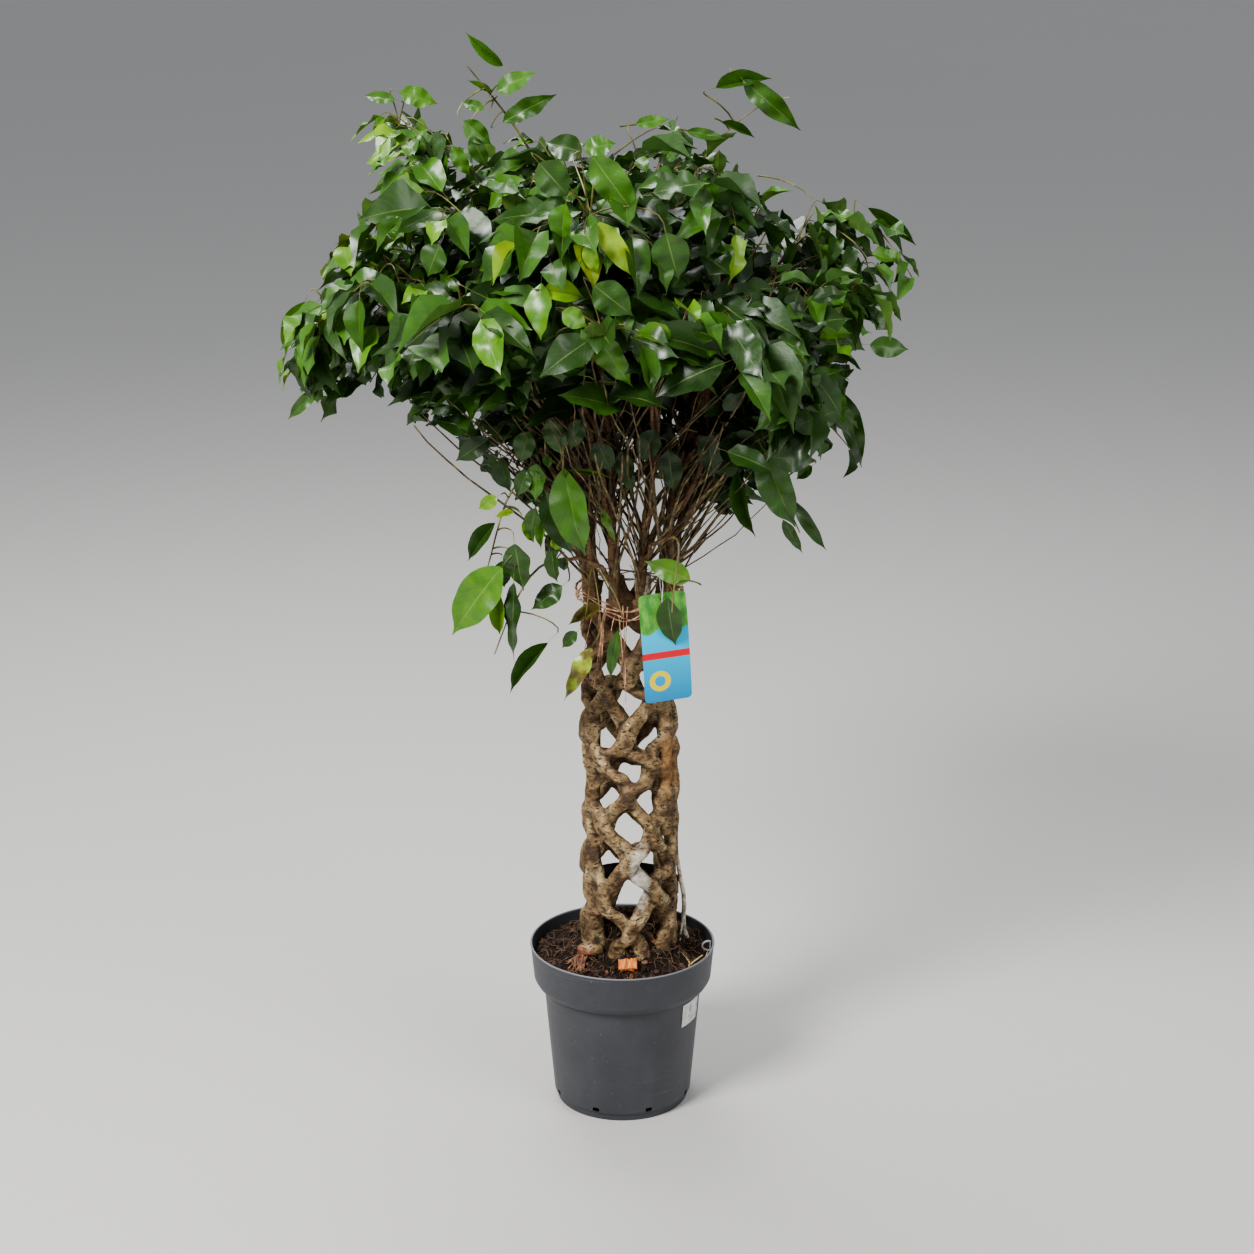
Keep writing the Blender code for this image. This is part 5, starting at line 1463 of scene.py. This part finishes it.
# %% Aerial root and peeling roots
ROOT_FOOT = Vector((0.079, 0.020, soil_height(0.079, 0.020) - 0.004))
MAIN_ROOT = ((0.006, 0.003, 0.0), (0.002, 0.001, 0.012), (0.001, 0.0, 0.030), (0.002, -0.002, 0.048),
             (0.001, -0.002, 0.065), (-0.003, -0.003, 0.085), (-0.006, -0.004, 0.105),
             (-0.009, -0.006, 0.129), (-0.012, -0.007, 0.155), (-0.014, -0.006, 0.180))
ROOT_FORK = ((-0.004, -0.010, 0.001), (-0.002, -0.006, 0.014), (0.001, -0.001, 0.032))
root_path = [(ROOT_FOOT + Vector(p), 0.0034 - 0.0011 * k / 9) for k, p in enumerate(MAIN_ROOT)]
fork_path = [(ROOT_FOOT + Vector(p), 0.0016) for p in ROOT_FORK]
root = tubes("aerial_root_bark", [root_path, fork_path], sides=10)
chance = Random(53)
peel_paths = []
for k in range(24):
    azimuth = chance.uniform(165, 275)
    foot = Vector((-0.046, -0.048, 0.0))
    stride = chance.uniform(0.0025, 0.0052)
    path = []
    for j in range(5):
        spot = foot + polar(0.009 + stride * j, azimuth + 26 * uneven(k, 0.7 * j), 0)
        lift = chance.uniform(0.006, 0.014) * (1 - j / 4) ** 2 + 0.0014
        path.append((Vector((spot.x, spot.y, soil_height(spot.x, spot.y) + lift)), 0.0013 - 0.0002 * j))
    peel_paths.append(path)
for k in range(4):
    x = 0.003 + 0.0030 * k
    path = []
    for j in range(4 + k % 2):
        y = -0.083 - 0.0045 * j
        path.append((Vector((x + 0.004 * uneven(k, j), y, soil_height(x, y) + 0.0018)), 0.0010))
    peel_paths.append(path)
peels = tubes("peeling_roots", peel_paths, sides=6)
pale_root = grained_finish("bleached_root", 150.0,
                           [(0.35, "#7f7464"), (0.5, "#aca290"), (0.66, "#cfc7b8")],
                           0.7, relief=(0.5, 0.001))
seat(root, ["aerial_root"], [pale_root])
red_root = grained_finish("peeling_root_skin", 240.0,
                          [(0.35, "#432a1f"), (0.5, "#744a35"), (0.66, "#9c7554")], 0.65)
seat(peels, materials=[red_root])

# %% [markdown]
# The strip of black film behind the trunk is stretch polyethylene: near black, with long faint
# creases that catch the light. Its CAD solid already follows the stems, so it only gets the finish.

# %% Black band
black_film = grained_finish("black_stretch_film", 1.0, [(0.35, "#101011"), (0.7, "#232426")],
                            0.32, detail=3.0, stretch=(30.0, 30.0, 260.0), relief=(0.4, 0.001))
refinish("trunk_band", black_film)
print("band finished")

# %% [markdown]
# ## The hang tag
#
# A rounded card, 60 by 140 mm, hangs from a thin wire. Its print is a plain pattern of its own: a
# green field with a wavy edge, clear blue, one red stripe and a yellow ring. The card is a block with
# bevelled corners, and its UV map is laid over it before it is turned and curled a little.

# %% Card
low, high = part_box("hang_tag")
CARD_MIDDLE = (Vector(low) + Vector(high)) / 2
CARD_WIDTH = 0.060
CARD_HEIGHT = 0.140
CARD_TURN = Matrix.Rotation(radians(14), 4, "Z") @ Matrix.Rotation(radians(-4), 4, "Y")
HOLE = Vector((0, 0, 0.062))
bpy.ops.object.select_all(action="DESELECT")
bpy.ops.mesh.primitive_cube_add(size=1)
card = bpy.context.object
card.scale = (CARD_WIDTH, 0.0006, CARD_HEIGHT)
bpy.ops.object.transform_apply(scale=True)
bpy.ops.object.mode_set(mode="EDIT")
pick("EDGE", lambda edge: abs(edge.verts[0].co.y - edge.verts[1].co.y) > 0.0003)
bpy.ops.mesh.bevel(offset=0.006, segments=6)
bpy.ops.object.mode_set(mode="OBJECT")
bpy.ops.mesh.primitive_cylinder_add(vertices=24, radius=0.0025, depth=0.01, location=HOLE,
                                    rotation=(radians(90), 0, 0))
punch = bpy.context.object
apply_modifier(card, "BOOLEAN", operation="DIFFERENCE", object=punch, solver="EXACT")
bpy.data.objects.remove(punch)
bpy.ops.object.mode_set(mode="EDIT")
for k in range(1, 10):
    pick("FACE", lambda face: True)
    bpy.ops.mesh.bisect(plane_co=(0, 0, -0.07 + 0.014 * k), plane_no=(0, 0, 1))
bpy.ops.object.mode_set(mode="OBJECT")
card.name = "printed_tag"
uv_layer = card.data.uv_layers.active or card.data.uv_layers.new(name="UVMap")
for loop in card.data.loops:
    point = card.data.vertices[loop.vertex_index].co
    uv_layer.data[loop.index].uv = (point.x / CARD_WIDTH + 0.5, point.z / CARD_HEIGHT + 0.5)
for vert in card.data.vertices:
    vert.co.y += 0.0035 * (vert.co.z / 0.07) ** 2 - 0.0030 * (vert.co.x / 0.03) ** 2
card.data.transform(Matrix.Translation(CARD_MIDDLE) @ CARD_TURN)
print("card", len(card.data.polygons), "faces")

# %% Printed card finish
print_card, tree, shader = new_material("printed_coated_card")
card_map = add_node(tree, "UVMap", uv_map=uv_layer.name)
spot = add_node(tree, "SeparateXYZ", {"Vector": card_map})
u, v = spot.outputs["X"], spot.outputs["Y"]
wave = add_node(tree, "Math", {0: u, 1: 11.0}, operation="MULTIPLY")
wave = add_node(tree, "Math", {0: wave}, operation="SINE")
edge = add_node(tree, "Math", {0: wave, 1: 0.025, 2: v}, operation="MULTIPLY_ADD")
field = add_node(tree, "MapRange", {"Value": edge, "From Min": 0.658, "From Max": 0.666})
fade = add_node(tree, "ValToRGB", {"Fac": v}, [(0.0, "#0d83b4"), (0.6, "#22b4d8")])
leafy = add_node(tree, "TexNoise", {"Vector": card_map, "Scale": 7.0})
greens = add_node(tree, "ValToRGB", {"Fac": leafy}, [(0.4, "#3f8035"), (0.6, "#6aa544")])
colour = add_node(tree, "Mix", {"Factor": field, "A": fade, "B": greens}, data_type="RGBA")
band_low = add_node(tree, "Math", {0: v, 1: 0.44}, operation="SUBTRACT")
band_far = add_node(tree, "Math", {0: band_low}, operation="ABSOLUTE")
stripe = add_node(tree, "MapRange", {"Value": band_far, "From Min": 0.034, "From Max": 0.030})
colour = add_node(tree, "Mix", {"Factor": stripe, "A": colour, "B": "#c8202a"}, data_type="RGBA")
across = add_node(tree, "Math", {0: u, 1: 0.34}, operation="SUBTRACT")
upward = add_node(tree, "Math", {0: v, 1: 0.20}, operation="SUBTRACT")
upward = add_node(tree, "Math", {0: upward, 1: 2.333}, operation="MULTIPLY")
centred = add_node(tree, "CombineXYZ", {0: across, 1: upward})
reach = add_node(tree, "VectorMath", {0: centred}, operation="LENGTH").outputs["Value"]
off_ring = add_node(tree, "Math", {0: reach, 1: 0.17}, operation="SUBTRACT")
off_ring = add_node(tree, "Math", {0: off_ring}, operation="ABSOLUTE")
ring = add_node(tree, "MapRange", {"Value": off_ring, "From Min": 0.060, "From Max": 0.048})
colour = add_node(tree, "Mix", {"Factor": ring, "A": colour, "B": "#d9c520"}, data_type="RGBA")
fill(shader, {"Base Color": colour, "Roughness": 0.35})
seat(card, ["hang_tag"], [print_card], angle=30)

# %% [markdown]
# The wire is a loop of thin plastic-coated steel: over the raffia, down through the hole, and up
# behind the card.

# %% Tag wire
hole = CARD_MIDDLE + CARD_TURN @ HOLE
WIRE_LOOP = ((0, 0.006, -0.004), (0, -0.0028, -0.003), (0, -0.0030, 0.004), (0.001, 0.002, 0.016),
             (0.0, 0.012, 0.026), (-0.002, 0.022, 0.030), (-0.003, 0.026, 0.022),
             (-0.002, 0.018, 0.012), (0.0, 0.0055, 0.002), (0, 0.006, -0.004))
wire_path = [(hole + Vector(p), 0.0006) for p in WIRE_LOOP]
wire = tubes("tag_wire_loop", [wire_path], sides=6)
coated_wire = grained_finish("plastic_coated_wire", 300.0, [(0.35, "#a9a8a2"), (0.65, "#dad9d4")],
                             0.3, detail=2.0)
seat(wire, ["tag_wire"], [coated_wire])
